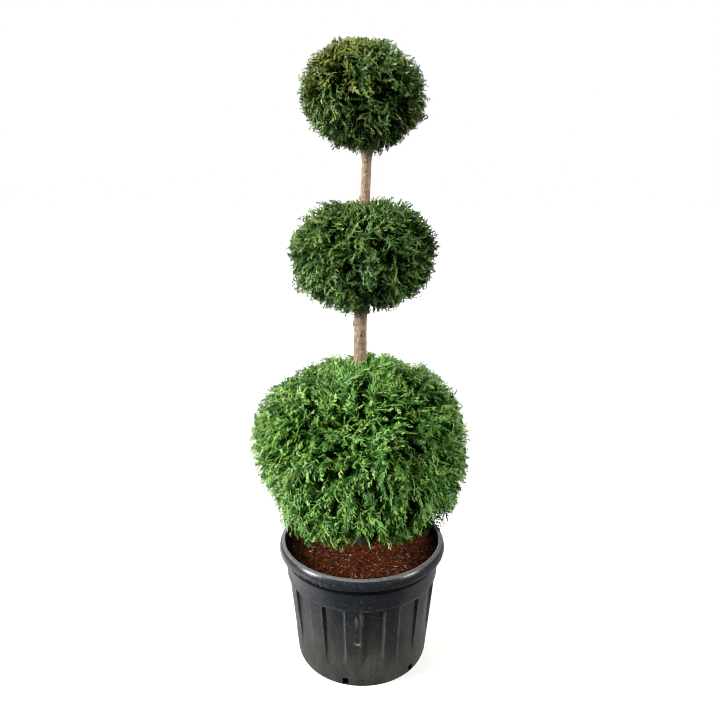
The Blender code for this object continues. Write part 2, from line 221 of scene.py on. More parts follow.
# How the columns of one flute's sector lie, closest where the flute's sides turn: (degrees, columns).
COLUMN_PLACES = ((-15.0, 0), (-10.4, 6), (-7.2, 15), (7.2, 25), (10.4, 34), (15.0, 40))
NOTCH_FROM_DEG = -148.0
NOTCH_TO_DEG = -113.0
NOTCH_PITCH_DEG = 2.4
NOTCH_SHARE = 0.45
NOTCH_DEPTH = 0.0036
NOTCH_WORN_HIGHLIGHT = 0.6
DRAIN_COUNT = 6
DRAIN_FIRST_DEG = -104.0
DRAIN_SIZE = (0.060, 0.018, 0.025)
DRAIN_ROUND = 0.003
DRAIN_MIDDLE_HEIGHT = 0.0175


def rounded_line(corners, steps=5):
    """Points along (radius, height, rounding) corners in the XZ plane, each corner rounded off."""
    places = [Vector((radius, 0.0, height)) for radius, height, _ in corners]
    points = []
    for i, (_, _, cut) in enumerate(corners):
        if cut == 0.0:
            points.append(places[i])
            continue
        start = places[i] + (places[i - 1] - places[i]).normalized() * cut
        end = places[i] + (places[i + 1] - places[i]).normalized() * cut
        for step in range(steps + 1):
            share = step / steps
            points.append(start.lerp(places[i], share).lerp(places[i].lerp(end, share), share))
    return points


def turned(points, steps):
    """The skin that a line of points makes when it is turned right round the Z axis."""
    bm = bmesh.new()
    verts = [bm.verts.new(point) for point in points]
    edges = [bm.edges.new(pair) for pair in zip(verts, verts[1:])]
    bmesh.ops.spin(
        bm,
        geom=verts + edges,
        cent=(0.0, 0.0, 0.0),
        axis=(0.0, 0.0, 1.0),
        angle=2.0 * math.pi,
        steps=steps,
        use_merge=True,
    )
    bmesh.ops.remove_doubles(bm, verts=bm.verts, dist=0.000002)
    bmesh.ops.recalc_face_normals(bm, faces=bm.faces)
    return bm


def new_piece(name, mesh, materials, smooth_deg=None):
    """Puts a finished mesh into the scene with its materials, shaded smooth up to smooth_deg if given."""
    if smooth_deg is not None:
        mesh.shade_smooth()
        mesh.set_sharp_from_angle(angle=math.radians(smooth_deg))
    for material in materials:
        mesh.materials.append(material)
    return place_object(name, mesh)


def evaluated_mesh(shape):
    """The mesh of an object with its modifiers and its bevel applied. The object itself goes."""
    bpy.context.view_layer.update()
    mesh = bpy.data.meshes.new_from_object(shape.evaluated_get(bpy.context.evaluated_depsgraph_get()))
    bpy.data.objects.remove(shape, do_unlink=True)
    return mesh


def wall_radius(height):
    """The outside radius of the ribs between the flutes, an even taper from the collar to the foot."""
    return FOOT_RADIUS + (COLLAR_BOTTOM_RADIUS - COLLAR_STEP - FOOT_RADIUS) * height / COLLAR_BOTTOM


def flute_inset(angle, height, radius):
    """How far into a flute's outline a point lies, over its side run: 0 outside it and 1 on its floor."""
    half_pitch = FLUTE_PITCH_DEG / 2.0
    off_deg = (math.degrees(angle) - FLUTE_FIRST_DEG + half_pitch) % FLUTE_PITCH_DEG - half_pitch
    from_side = math.radians(FLUTE_HALF_DEG - abs(off_deg)) * radius
    across = max(FLUTE_CORNER - from_side, 0.0)
    along = max(FLUTE_CORNER - (FLUTE_TOP - height), 0.0)
    return (FLUTE_CORNER - math.hypot(across, along)) / FLUTE_SIDE_RUN


def ease(share):
    share = min(max(share, 0.0), 1.0)
    return share * share * (3.0 - 2.0 * share)


def bell(away):
    """1 at no distance, and falling off evenly to both sides."""
    return math.exp(-(away ** 2))


wall_rings = [ring for low, high, count in WALL_RINGS for ring in np.linspace(low, high, count)]
pot_outline = [
    (0.0, 0.0, 0.0),
    (0.120, 0.0, 0.0),
    (UNDERSIDE_RADIUS + 0.004, 0.0, 0.004),
    (wall_radius(0.012), 0.012, 0.006),
    (wall_radius(0.035), 0.035, 0.0),
    *((wall_radius(ring), ring, 0.0) for ring in wall_rings),
    (wall_radius(COLLAR_BOTTOM), COLLAR_BOTTOM, 0.0006),
    (COLLAR_BOTTOM_RADIUS, COLLAR_BOTTOM + 0.001, 0.0010),
    (COLLAR_BOTTOM_RADIUS + 0.0003, COLLAR_BOTTOM + 0.0042, 0.0),
    (COLLAR_BOTTOM_RADIUS + 0.0030, 0.313, 0.0),
    (COLLAR_TOP_RADIUS, LIP_BOTTOM, 0.0012),
    (LIP_OUTER_RADIUS - 0.0015, LIP_BOTTOM + 0.001, 0.0022),
    (LIP_OUTER_RADIUS + 0.0006, LIP_BOTTOM + 0.010, 0.0),
    (LIP_OUTER_RADIUS - 0.0010, LIP_BOTTOM + 0.0205, 0.0040),
    (LIP_OUTER_RADIUS - 0.0055, POT_HEIGHT, 0.0040),
    (LIP_OUTER_RADIUS - 0.0100, POT_HEIGHT + LIP_CREST, 0.0028),
    (LIP_INNER_RADIUS + 0.0010, POT_HEIGHT + LIP_CREST, 0.0020),
    (LIP_INNER_RADIUS - 0.0020, POT_HEIGHT - 0.0005, 0.0015),
    (LIP_INNER_RADIUS - 0.0015, LIP_BOTTOM + 0.002, 0.0),
    (COLLAR_TOP_RADIUS - POT_WALL, LIP_BOTTOM - 0.002, 0.0),
    (COLLAR_BOTTOM_RADIUS - POT_WALL, COLLAR_BOTTOM, 0.0),
    *((wall_radius(ring) - POT_WALL, ring, 0.0) for ring in reversed(wall_rings[1::2])),
    (wall_radius(0.012) - POT_WALL, 0.012, 0.003),
    (UNDERSIDE_RADIUS, POT_WALL, 0.0),
    (0.0, POT_WALL, 0.0),
]
pot_bm = turned(rounded_line(pot_outline), POT_COLUMNS)
worn_highlight = pot_bm.verts.layers.float.new("worn_highlight")
place_degrees, place_columns = zip(*COLUMN_PLACES)
fade_heights, fade_shares = zip(*FLUTE_FADE)
worn_highlight_from, worn_highlight_whole = FLUTE_WORN_HIGHLIGHT_HEIGHTS
# Pale lines on the flute, collar and notch edges are marked here: wear and a painted highlight.
for vert in pot_bm.verts:
    radius = math.hypot(vert.co.x, vert.co.y)
    height = vert.co.z
    column = round(math.atan2(vert.co.y, vert.co.x) / (2.0 * math.pi) * POT_COLUMNS)
    sector, within = divmod(column, POT_COLUMNS_PER_FLUTE)
    degrees = float(np.interp(within, place_columns, place_degrees))
    angle = math.radians(FLUTE_FIRST_DEG + sector * FLUTE_PITCH_DEG + degrees)
    if FLUTE_FADE[0][0] < height < COLLAR_BOTTOM and radius > WALL_LEAST_RADIUS:
        inset = flute_inset(angle, height, radius)
        vert[worn_highlight] = bell(inset / FLUTE_WORN_HIGHLIGHT_WIDTH) * ease((height - worn_highlight_from) / (worn_highlight_whole - worn_highlight_from))
        radius -= FLUTE_DEPTH * float(np.interp(height, fade_heights, fade_shares)) * ease(inset)
    if radius > COLLAR_BOTTOM_RADIUS - 0.0008 and abs(height - COLLAR_BOTTOM - 0.0012) < 0.0014:
        vert[worn_highlight] = COLLAR_WORN_HIGHLIGHT
    if radius > COLLAR_TOP_RADIUS + 0.003 and height < LIP_BOTTOM + 0.006:
        round_deg = math.degrees(angle) % 360.0 - 360.0
        notched = NOTCH_FROM_DEG < round_deg < NOTCH_TO_DEG
        if notched and (round_deg % NOTCH_PITCH_DEG) / NOTCH_PITCH_DEG < NOTCH_SHARE:
            radius -= NOTCH_DEPTH
        elif notched:
            vert[worn_highlight] = NOTCH_WORN_HIGHLIGHT
    vert.co.x = radius * math.cos(angle)
    vert.co.y = radius * math.sin(angle)

drain_bm = bmesh.new()
for i in range(DRAIN_COUNT):
    turn = Matrix.Rotation(math.radians(DRAIN_FIRST_DEG + i * 360.0 / DRAIN_COUNT), 4, "Z")
    place = Matrix.Translation((FOOT_RADIUS, 0.0, DRAIN_MIDDLE_HEIGHT))
    bmesh.ops.create_cube(drain_bm, size=1.0, matrix=turn @ place @ Matrix.Diagonal((*DRAIN_SIZE, 1.0)))
long_edges = [edge for edge in drain_bm.edges if edge.calc_length() > 0.9 * DRAIN_SIZE[0]]
bmesh.ops.bevel(
    drain_bm, geom=long_edges, offset=DRAIN_ROUND, segments=3, profile=0.5, affect="EDGES", material=-1
)
pot = place_object("pot_cut", finished_mesh(pot_bm, "pot_shell"))
drain_cutter = place_object("drain_cutter", finished_mesh(drain_bm, "drain_cutter"))
cut = pot.modifiers.new("drain_slots", "BOOLEAN")
cut.operation = "DIFFERENCE"
cut.solver = "EXACT"
cut.object = drain_cutter
pot_mesh = evaluated_mesh(pot)
bpy.data.objects.remove(drain_cutter, do_unlink=True)

POT_BLACK = (0.0105, 0.0128, 0.0168)
POT_DUST = (0.0740, 0.0722, 0.0600)
POT_SHEEN = 0.31
UNDERCUT_SHEEN = 0.03
SCUFF_PLACE = (-0.013, -0.2150, 0.158)
SCUFF_SIZE = (0.016, 0.10, 0.007)
TRAILS_PLACE = (-0.006, -0.2200, 0.235)
TRAILS_SIZE = (0.022, 0.10, 0.036)


def coords_of(material):
    """The coordinates of the material's own object."""
    return add_node(material.node_tree, "ShaderNodeTexCoord", {}).outputs["Object"]


def height_of(coords):
    return add_node(coords.id_data, "ShaderNodeSeparateXYZ", {0: coords}).outputs["Z"]


def marked(material, name):
    """The value that the mesh carries at its points under this name."""
    return add_node(material.node_tree, "ShaderNodeAttribute", {}, attribute_name=name).outputs["Fac"]


def noise_at(coords, scale, upright=1.0, detail=3.0, roughness=0.55, shift=(0.0, 0.0, 0.0)):
    """A noise from 0 to 1 that is drawn out upright where the factor upright is under 1."""
    tree = coords.id_data
    inputs = {"Vector": coords, "Scale": (1.0, 1.0, upright), "Location": shift}
    placed = add_node(tree, "ShaderNodeMapping", inputs).outputs[0]
    inputs = {"Vector": placed, "Scale": scale, "Detail": detail, "Roughness": roughness}
    return add_node(tree, "ShaderNodeTexNoise", inputs).outputs["Fac"]


def reckon(operation, first, second):
    """The result of a sum on a node's output and a number or another output."""
    return add_node(first.id_data, "ShaderNodeMath", {0: first, 1: second}, operation=operation).outputs[0]


def times(first, second):
    return reckon("MULTIPLY", first, second)


def layered(colour, *coats):
    """A colour under coats that are laid on in turn, each as how much of it shows and its colour."""
    for share, coat in coats:
        inputs = {0: share, 6: colour, 7: coat}
        colour = add_node(share.id_data, "ShaderNodeMix", inputs, data_type="RGBA").outputs[2]
    return colour


def bumps(height, strength, distance):
    inputs = {"Height": height, "Strength": strength, "Distance": distance}
    return add_node(height.id_data, "ShaderNodeBump", inputs).outputs["Normal"]


def patch_at(coords, place, size, edge):
    """1 inside an egg-shaped patch and 0 outside it, eased over the edge."""
    tree, kind = coords.id_data, "ShaderNodeVectorMath"
    off = add_node(tree, kind, {0: coords, 1: place}, operation="SUBTRACT").outputs[0]
    scaled = add_node(tree, kind, {0: off, 1: size}, operation="DIVIDE").outputs[0]
    away = add_node(tree, kind, {0: scaled}, operation="LENGTH").outputs["Value"]
    return ramp(away, 1.0, 1.0 - edge)


pot_plastic = new_material("pot_black_plastic", 0.6, POT_SHEEN)
pot_coords = coords_of(pot_plastic)
pot_height = height_of(pot_coords)

# Dust lies lower down and in cloudy patches, and rain has drawn it out into faint upright streaks.
dust = times(ramp(pot_height, 0.285, 0.02), ramp(noise_at(pot_coords, 14.0, 0.6, 5.0), 0.30, 0.72, 0.35, 1.0))
dust = times(dust, ramp(noise_at(pot_coords, 110.0, 0.05), 0.35, 0.70, 0.75, 1.0))

# The whole skin is finely mottled; the lip's crest is pale grey from carrying, and as a painted highlight.
mottle = noise_at(pot_coords, 150.0, 0.8, 6.0, 0.7)
rubbed_crest_highlight = times(ramp(pot_height, 0.3785, 0.3815), ramp(mottle, 0.30, 0.60, 0.45, 1.0))

# The undercut between the lip and the collar is painted dark as painted shade, and is rougher and less shiny.
undercut_shade = times(ramp(pot_height, 0.3260, 0.3330), ramp(pot_height, 0.3515, 0.3505))

# The edges of the flutes and the collar carry a thin pale line, partly wear and partly a painted highlight.
worn_highlight_line = times(marked(pot_plastic, "worn_highlight"), ramp(noise_at(pot_coords, 60.0, 0.3), 0.3, 0.6, 0.10, 0.55))

# A few dark splashes dot the wall near the foot.
dots = {"Vector": pot_coords, "Scale": 42.0, "Randomness": 1.0}
dots = add_node(pot_plastic.node_tree, "ShaderNodeTexVoronoi", dots).outputs["Distance"]
splashes = times(ramp(dots, 0.16, 0.10), ramp(noise_at(pot_coords, 9.0), 0.50, 0.60))
splashes = times(splashes, ramp(pot_height, 0.10, 0.06))

# One tan scuff of dried earth sits on the front of the wall, and water has left pale trails over it.
scuff = patch_at(pot_coords, SCUFF_PLACE, SCUFF_SIZE, 0.6)
scuff = times(scuff, ramp(noise_at(pot_coords, 190.0, 2.5, 4.0), 0.46, 0.56))
trails = patch_at(pot_coords, TRAILS_PLACE, TRAILS_SIZE, 0.5)
trails = times(trails, ramp(noise_at(pot_coords, 150.0, 0.16, 2.0), 0.50, 0.60))

pot_colour = layered(
    POT_BLACK,
    (dust, POT_DUST),
    (ramp(mottle, 0.50, 0.70, 0.0, 0.46), (0.0760, 0.0780, 0.0780)),
    (ramp(mottle, 0.48, 0.28, 0.0, 0.60), (0.0070, 0.0080, 0.0100)),
    # pale lip crest: wear and a painted highlight
    (rubbed_crest_highlight, (0.1350, 0.1400, 0.1450)),
    # painted shade in the undercut under the lip
    (undercut_shade, (0.0040, 0.0050, 0.0070)),
    # pale edge lines: wear and a painted highlight
    (worn_highlight_line, (0.1500, 0.1480, 0.1420)),
    (splashes, (0.0060, 0.0060, 0.0065)),
    (scuff, (0.3000, 0.2200, 0.1400)),
    (times(trails, 0.5), (0.1400, 0.1360, 0.1280)),
)
pot_rough = ramp(noise_at(pot_coords, 180.0, detail=4.0), 0.3, 0.7, -0.04, 0.06)
pot_rough = reckon("ADD", ramp(dust, 0.0, 1.0, 0.26, 0.50), pot_rough)
pot_grain = ramp(noise_at(pot_coords, 700.0, detail=2.0), 0.0, 1.0, 0.0, 0.12)
pot_relief = reckon("ADD", pot_grain, noise_at(pot_coords, 24.0, 0.5, 2.0))
paint(pot_plastic, {
    "Base Color": pot_colour,
    "Roughness": times(pot_rough, reckon("ADD", undercut_shade, 1.0)),
    "Specular IOR Level": ramp(undercut_shade, 0.0, 1.0, POT_SHEEN, UNDERCUT_SHEEN),
    "Normal": bumps(pot_relief, 0.25, 0.0012),
})

pot_shell = new_piece("pot_shell", pot_mesh, [pot_plastic], smooth_deg=38.0)
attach(pot_shell, "root")
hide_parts("pot")

# Soil
# The container is filled to two centimetres under its lip with moist composted bark. Its top is uneven, and
# loose chips and fibres of bark lie on it.
SOIL_TOP = 0.360
SOIL_TO_WALL = 0.0026
SOIL_COLUMNS = 180
SOIL_RINGS = 56
# The soil's unevenness: how far it rises and falls, how many waves go to a metre and where they start.
SOIL_WAVES = (
    (0.0040, 14.0, (3.0, 1.0, 5.0)),
    (0.0018, 70.0, (0.0, 0.0, 1.3)),
    (0.0011, 190.0, (0.0, 0.0, 4.1)),
)
SOIL_DIP = 0.006
SOIL_DIP_FROM = 0.200
SOIL_DIP_RUN = 0.028


def soil_height(x, y):
    """The height of the soil's top at a place, lower towards the wall."""
    lift = 0.0
    for rise, waves, (right, back, up) in SOIL_WAVES:
        lift += rise * noise.noise(Vector((x * waves + right, y * waves + back, up)))
    return SOIL_TOP + lift - SOIL_DIP * ease((math.hypot(x, y) - SOIL_DIP_FROM) / SOIL_DIP_RUN)


soil_clear = POT_WALL + SOIL_TO_WALL
soil_edge = COLLAR_TOP_RADIUS - 1.3 * soil_clear
soil_outline = [
    (0.0, POT_WALL + 0.0003, 0.0),
    (UNDERSIDE_RADIUS - soil_clear, POT_WALL + 0.0003, 0.0),
    (wall_radius(FOOT_ROUND) - FLUTE_DEPTH - soil_clear, FOOT_ROUND, 0.0),
    (wall_radius(0.266) - FLUTE_DEPTH - soil_clear, 0.266, 0.0),
    (COLLAR_BOTTOM_RADIUS - 2.0 * soil_clear, 0.286, 0.0),
    (soil_edge, 0.345, 0.0),
    *((soil_edge * (1.0 - ring / SOIL_RINGS), SOIL_TOP, 0.0) for ring in range(SOIL_RINGS + 1)),
]
soil_bm = turned(rounded_line(soil_outline), SOIL_COLUMNS)
for vert in soil_bm.verts:
    if vert.co.z > SOIL_TOP - 0.0001:
        vert.co.z = soil_height(vert.co.x, vert.co.y)

soil_bark = new_material("soil_bark", 0.95, 0.08)
soil_coords = coords_of(soil_bark)
crumbs = noise_at(soil_coords, 160.0, 1.0, 5.0, 0.7)
soil_colour = layered(
    (0.0160, 0.0033, 0.0011),
    (ramp(crumbs, 0.36, 0.66), (0.1200, 0.0270, 0.0075)),
    # low down, seen only through the drain slots, the soil is painted near black: painted shade
    (ramp(height_of(soil_coords), 0.120, 0.060), (0.0020, 0.0016, 0.0013)),
)
paint(soil_bark, {"Base Color": soil_colour, "Normal": bumps(crumbs, 0.9, 0.003)})

soil_body = new_piece("soil_body", finished_mesh(soil_bm, "soil_body"), [soil_bark], smooth_deg=60.0)
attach(soil_body, "root")
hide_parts("soil")

# Bark chips
# Slivers of bark and wood fibre, the coarse part of the mix, lie loose on the soil in every direction. Most
# are red-brown, some nearly black, and a few fresh splinters are pale.
CHIP_COUNT = 9600
CHIP_LENGTH = (0.0025, 0.0085)
CHIP_FROM_TRUNK = 0.030
CHIP_REACH = 0.2275
CHIP_LIFT = (-0.0008, 0.0022)
# The shapes of chips, broad flakes and thin fibres: how many, how wide and how thick for their length, how
# often each is laid, and how much longer it is.
CHIP_SHAPES = ((4, 0.42, 0.26, 0.19, 1.0), (2, 0.14, 0.10, 0.12, 1.5))
CHIP_COLOURS = (
    ((0.0150, 0.0036, 0.0012), 0.26),
    ((0.0620, 0.0140, 0.0045), 0.32),
    ((0.1300, 0.0325, 0.0090), 0.26),
    ((0.2700, 0.0950, 0.0340), 0.12),
    ((0.5200, 0.4000, 0.3000), 0.04),
)


def pattern_of(bm):
    """The points, triangles and material parts of a small shape, ready to be copied."""
    bmesh.ops.triangulate(bm, faces=bm.faces)
    bm.verts.index_update()
    points = np.array([vert.co[:] for vert in bm.verts])
    triangles = np.array([[vert.index for vert in face.verts] for face in bm.faces])
    parts = np.array([face.material_index for face in bm.faces])
    bm.free()
    return points, triangles, parts


def join_copies(name, patterns, picks, turns, spots, slots, bends=None):
    """One mesh of many copies of small shapes.

    Copy i is patterns[picks[i]], bowed between its ends by bends[i], turned and sized by the matrix turns[i]
    and set at spots[i]. Its parts take the material slots from slots[i] on.
    """
    points, corners, painted = [], [], []
    start = 0
    for number, (shape, triangles, parts) in enumerate(patterns):
        chosen = np.flatnonzero(picks == number)
        copies = np.repeat(shape[None], len(chosen), axis=0)
        if bends is not None:
            along = copies[:, :, 0] ** 2 - copies[:, :, 0]
            copies[:, :, 1] += bends[chosen, 0, None] * along
            copies[:, :, 2] += bends[chosen, 1, None] * along
        placed = np.einsum("nij,nvj->nvi", turns[chosen], copies) + spots[chosen, None, :]
        numbers = start + np.arange(len(chosen))[:, None, None] * len(shape) + triangles
        points.append(placed.reshape(-1, 3))
        corners.append(numbers.reshape(-1))
        painted.append((slots[chosen, None] + parts).reshape(-1))
        start += len(chosen) * len(shape)
    points = np.concatenate(points)
    corners = np.concatenate(corners)
    mesh = bpy.data.meshes.new(name)
    mesh.vertices.add(len(points))
    mesh.vertices.foreach_set("co", points.astype(np.float32).ravel())
    mesh.loops.add(len(corners))
    mesh.loops.foreach_set("vertex_index", corners.astype(np.int32))
    mesh.polygons.add(len(corners) // 3)
    mesh.polygons.foreach_set("loop_start", np.arange(0, len(corners), 3, dtype=np.int32))
    mesh.polygons.foreach_set("material_index", np.concatenate(painted).astype(np.int32))
    mesh.update(calc_edges=True)
    return mesh


def sliver(draw, width, thickness):
    """A splinter one unit long along +X: a wedge with one end narrower, a little out of true."""
    bm = bmesh.new()
    lying = Matrix.Rotation(math.pi / 2.0, 3, "Y")
    bmesh.ops.create_cone(bm, cap_ends=True, segments=3, radius1=0.5, radius2=0.32, depth=1.0)
    bmesh.ops.rotate(bm, verts=bm.verts, cent=(0.0, 0.0, 0.0), matrix=lying)
    bmesh.ops.scale(bm, verts=bm.verts, vec=(1.0, width, thickness))
    for vert in bm.verts:
        vert.co += Vector((draw.uniform(-0.12, 0.12), draw.uniform(-0.3, 0.3) * width, 0.0))
    return pattern_of(bm)


chip_draw = random.Random(5)
chip_chance = np.random.default_rng(5)
chip_patterns, chip_shares, chip_stretches = [], [], []
for count, width, thickness, share, stretch in CHIP_SHAPES:
    chip_patterns += [sliver(chip_draw, width, thickness) for _ in range(count)]
    chip_shares += [share] * count
    chip_stretches += [stretch] * count
chip_picks = chip_chance.choice(len(chip_shares), CHIP_COUNT, p=chip_shares)
chip_slots = chip_chance.choice(len(CHIP_COLOURS), CHIP_COUNT, p=[share for _, share in CHIP_COLOURS])
chip_picks[chip_slots == len(CHIP_COLOURS) - 1] = len(chip_shares) - 1
chip_turns = np.zeros((CHIP_COUNT, 3, 3))
chip_spots = np.zeros((CHIP_COUNT, 3))
for i in range(CHIP_COUNT):
    away = math.sqrt(chip_draw.uniform((CHIP_FROM_TRUNK / CHIP_REACH) ** 2, 1.0)) * CHIP_REACH
    angle = chip_draw.uniform(0.0, 2.0 * math.pi)
    x, y = away * math.cos(angle), away * math.sin(angle)
    length = chip_draw.uniform(*CHIP_LENGTH) * chip_stretches[chip_picks[i]]
    turn = Matrix.Rotation(chip_draw.uniform(0.0, 2.0 * math.pi), 3, "Z")
    turn = turn @ Matrix.Rotation(chip_draw.gauss(0.0, 0.28), 3, "Y")
    turn = turn @ Matrix.Rotation(chip_draw.uniform(0.0, 2.0 * math.pi), 3, "X")
    if away + 0.5 * length > CHIP_REACH:
        turn = Matrix.Rotation(angle + math.pi / 2.0, 3, "Z")
    chip_turns[i] = np.array(turn) * length
    chip_spots[i] = (x, y, soil_height(x, y) + chip_draw.uniform(*CHIP_LIFT))
chip_mesh = join_copies("bark_chips", chip_patterns, chip_picks, chip_turns, chip_spots, chip_slots)
chip_finishes = []
for number, (colour, _) in enumerate(CHIP_COLOURS):
    chip_finishes.append(new_material(f"bark_chip_{number + 1}", 0.9, 0.12, colour))
bark_chips = new_piece("bark_chips", chip_mesh, chip_finishes)
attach(bark_chips, "root")
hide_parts("soil")

# Trunk
# One living stem runs from the soil up through the balls to the top. Its lower side branches were cut away
# years ago, and its thin grey-brown bark is drawn out in upright fibres over healed knots and scars.
TRUNK_FOOT = 0.3603
TRUNK_TIP = 1.700
TRUNK_COLUMNS = 72
TRUNK_RINGS = 430
# The stem's middle line: height, x and y.
TRUNK_AXIS = (
    (0.36, -0.004, 0.000),
    (0.70, -0.008, 0.004),
    (1.00, -0.006, 0.000),
    (1.20, 0.002, -0.004),
    (1.38, 0.008, -0.002),
    (1.50, 0.0115, 0.000),
    (1.70, 0.006, 0.004),
)
# The stem's girth: height and radius.
TRUNK_GIRTH = (
    (0.36, 0.0210),
    (0.50, 0.0194),
    (0.93, 0.0184),
    (1.08, 0.0180),
    (1.38, 0.0126),
    (1.47, 0.0122),
    (1.51, 0.0165),
    (1.56, 0.0110),
    (1.64, 0.0065),
    (1.70, 0.0030),
)
ROOT_FLARE = 0.014
ROOT_FLARE_HEIGHT = 0.035
ROOT_COUNT = 5
# Old branch knots: height, direction in degrees, how far they stand out and how far they spread.
TRUNK_KNOTS = (
    (1.045, 200.0, 0.0040, 0.018),
    (1.030, 300.0, 0.0025, 0.014),
    (1.385, 185.0, 0.0040, 0.016),
    (1.440, 290.0, 0.0018, 0.012),
    (0.960, 90.0, 0.0030, 0.016),
    (1.455, 60.0, 0.0022, 0.013),
)
# Dark scars: height, direction in degrees, half width and half height.
TRUNK_SCARS = (
    (1.011, -79.0, 0.0030, 0.0060),
    (1.044, -158.0, 0.0035, 0.0050),
    (1.451, -101.0, 0.0022, 0.0040),
    (1.441, -80.0, 0.0020, 0.0045),
    (1.032, 60.0, 0.0035, 0.0060),
    (0.985, 150.0, 0.0030, 0.0050),
    (1.420, 120.0, 0.0025, 0.0045),
    (0.962, -55.0, 0.0020, 0.0030),
)
SCAR_RIM = 0.0006
SCAR_DEPTH = 0.0014
# Creases that run round the stem: height and depth.
TRUNK_CREASES = ((0.971, 0.0007), (1.064, 0.0005), (1.403, 0.0006), (1.476, 0.0004))
CREASE_WIDTH = 0.0022
CREASE_WANDER = 0.0025
BARK_RIDGE = 0.0009
BARK_FIBRE = 0.0005
BARK_TWIST = 0.5


def read_curve(points, height):
    """Reads the values at a height from (height, value, ...) points, eased from point to point."""
    if height <= points[0][0]:
        return points[0][1:]
    for low, high in zip(points, points[1:]):
        if height <= high[0]:
            eased = ease((height - low[0]) / (high[0] - low[0]))
            return tuple(a + (b - a) * eased for a, b in zip(low[1:], high[1:]))
    return points[-1][1:]


def trunk_axis(height):
    return Vector((*read_curve(TRUNK_AXIS, height), height))


def round_gap(angle, direction_deg):
    """The turn between an angle and a direction, from -pi to pi."""
    off = angle - math.radians(direction_deg)
    return math.atan2(math.sin(off), math.cos(off))


def trunk_radius(height, angle):
    """The trunk's girth at a height and direction, with its root flare and its knots."""
    radius = read_curve(TRUNK_GIRTH, height)[0]
    lobes = 0.65 + 0.35 * math.cos(ROOT_COUNT * angle + 0.6)
    radius += ROOT_FLARE * lobes * math.exp((SOIL_TOP - height) / ROOT_FLARE_HEIGHT)
    radius += 0.0006 * math.sin(3.0 * angle + 9.0 * height)
    for knot_height, direction, stand, spread in TRUNK_KNOTS:
        away = math.hypot(round_gap(angle, direction) * radius, height - knot_height) / spread
        radius += stand * math.exp(-4.0 * away * away)
    return radius


def bark_relief(height, angle):
    """How far the bark stands out, and how deep in a groove or scar the place is, from 0 to 1."""
    turn = angle + BARK_TWIST * height
    around = Vector((math.cos(turn), math.sin(turn), 0.0))
    ridge = noise.noise(around * 4.6 + Vector((0.0, 0.0, height * 40.0)))
    fibre = noise.noise(around * 12.0 + Vector((5.0, 0.0, height * 60.0)))
    stand = BARK_RIDGE * (0.5 - abs(ridge) * 1.6) + BARK_FIBRE * fibre
    groove = 0.6 * ease(abs(ridge) * 2.0 - 0.30 - 0.6 * fibre)
    for crease_height, depth in TRUNK_CREASES:
        wander = CREASE_WANDER * noise.noise(around * 1.5 + Vector((0.0, 0.0, crease_height * 90.0)))
        near = bell((height - crease_height - wander) / CREASE_WIDTH)
        stand -= depth * near
        groove = max(groove, 0.8 * near)
    for scar_height, direction, half_width, half_height in TRUNK_SCARS:
        side = round_gap(angle, direction) * 0.016 / half_width
        away = math.hypot(side, (height - scar_height) / half_height)
        near = math.exp(-(away ** 4))
        stand += SCAR_RIM * bell((away - 1.25) / 0.35) - SCAR_DEPTH * near
        groove = max(groove, 1.25 * near)
    return stand, min(groove, 1.0)


trunk_bm = turned([(1.0, 0.0, i / TRUNK_RINGS) for i in range(TRUNK_RINGS + 1)], TRUNK_COLUMNS)
groove_depth = trunk_bm.verts.layers.float.new("groove")
for vert in trunk_bm.verts:
    height = TRUNK_FOOT + (TRUNK_TIP - TRUNK_FOOT) * vert.co.z
    angle = math.atan2(vert.co.y, vert.co.x)
    stand, vert[groove_depth] = bark_relief(height, angle)
    girth = trunk_radius(height, angle)
    reach = girth + stand * min(girth / 0.012, 1.0)
    vert.co = trunk_axis(height) + Vector((reach * math.cos(angle), reach * math.sin(angle), 0.0))
bmesh.ops.holes_fill(trunk_bm, edges=[edge for edge in trunk_bm.edges if edge.is_boundary])
bmesh.ops.recalc_face_normals(trunk_bm, faces=trunk_bm.faces)

# The bark is patched and specked with lichen and darker in its grooves, and its foot is dark: painted shade.
bark = new_material("trunk_bark", 0.85, 0.25)
bark_coords = coords_of(bark)
bark_fibres = noise_at(bark_coords, 420.0, 0.14, 4.0, 0.65)
bark_patches = noise_at(bark_coords, 220.0, 0.6, 5.0, 0.65)
bark_specks = noise_at(bark_coords, 230.0, 0.7, 3.0, 0.6)
bark_lichen = noise_at(bark_coords, 130.0, 0.6, 4.0, shift=(3.0, 1.0, 2.0))
bark_colour = layered(
    (0.2500, 0.1720, 0.1170),
    (ramp(bark_fibres, 0.30, 0.70), (0.3650, 0.2820, 0.2080)),
    (ramp(bark_patches, 0.48, 0.58, 0.0, 0.58), (0.1900, 0.1120, 0.0700)),
    (ramp(bark_specks, 0.57, 0.63, 0.0, 0.72), (0.0800, 0.0480, 0.0300)),
    (ramp(bark_lichen, 0.55, 0.64, 0.0, 0.55), (0.5200, 0.4400, 0.3300)),
    (ramp(marked(bark, "groove"), 0.35, 1.0, 0.0, 0.80), (0.1000, 0.0660, 0.0430)),
    # painted shade on the trunk's foot under the lower ball
    (ramp(height_of(bark_coords), 0.500, 0.420), (0.0130, 0.0080, 0.0050)),
)
paint(bark, {"Base Color": bark_colour, "Normal": bumps(bark_fibres, 0.8, 0.0010)})

trunk_bark = new_piece("trunk_bark", finished_mesh(trunk_bm, "trunk_bark"), [bark], smooth_deg=50.0)
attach(trunk_bark, "root")
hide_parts("trunk")

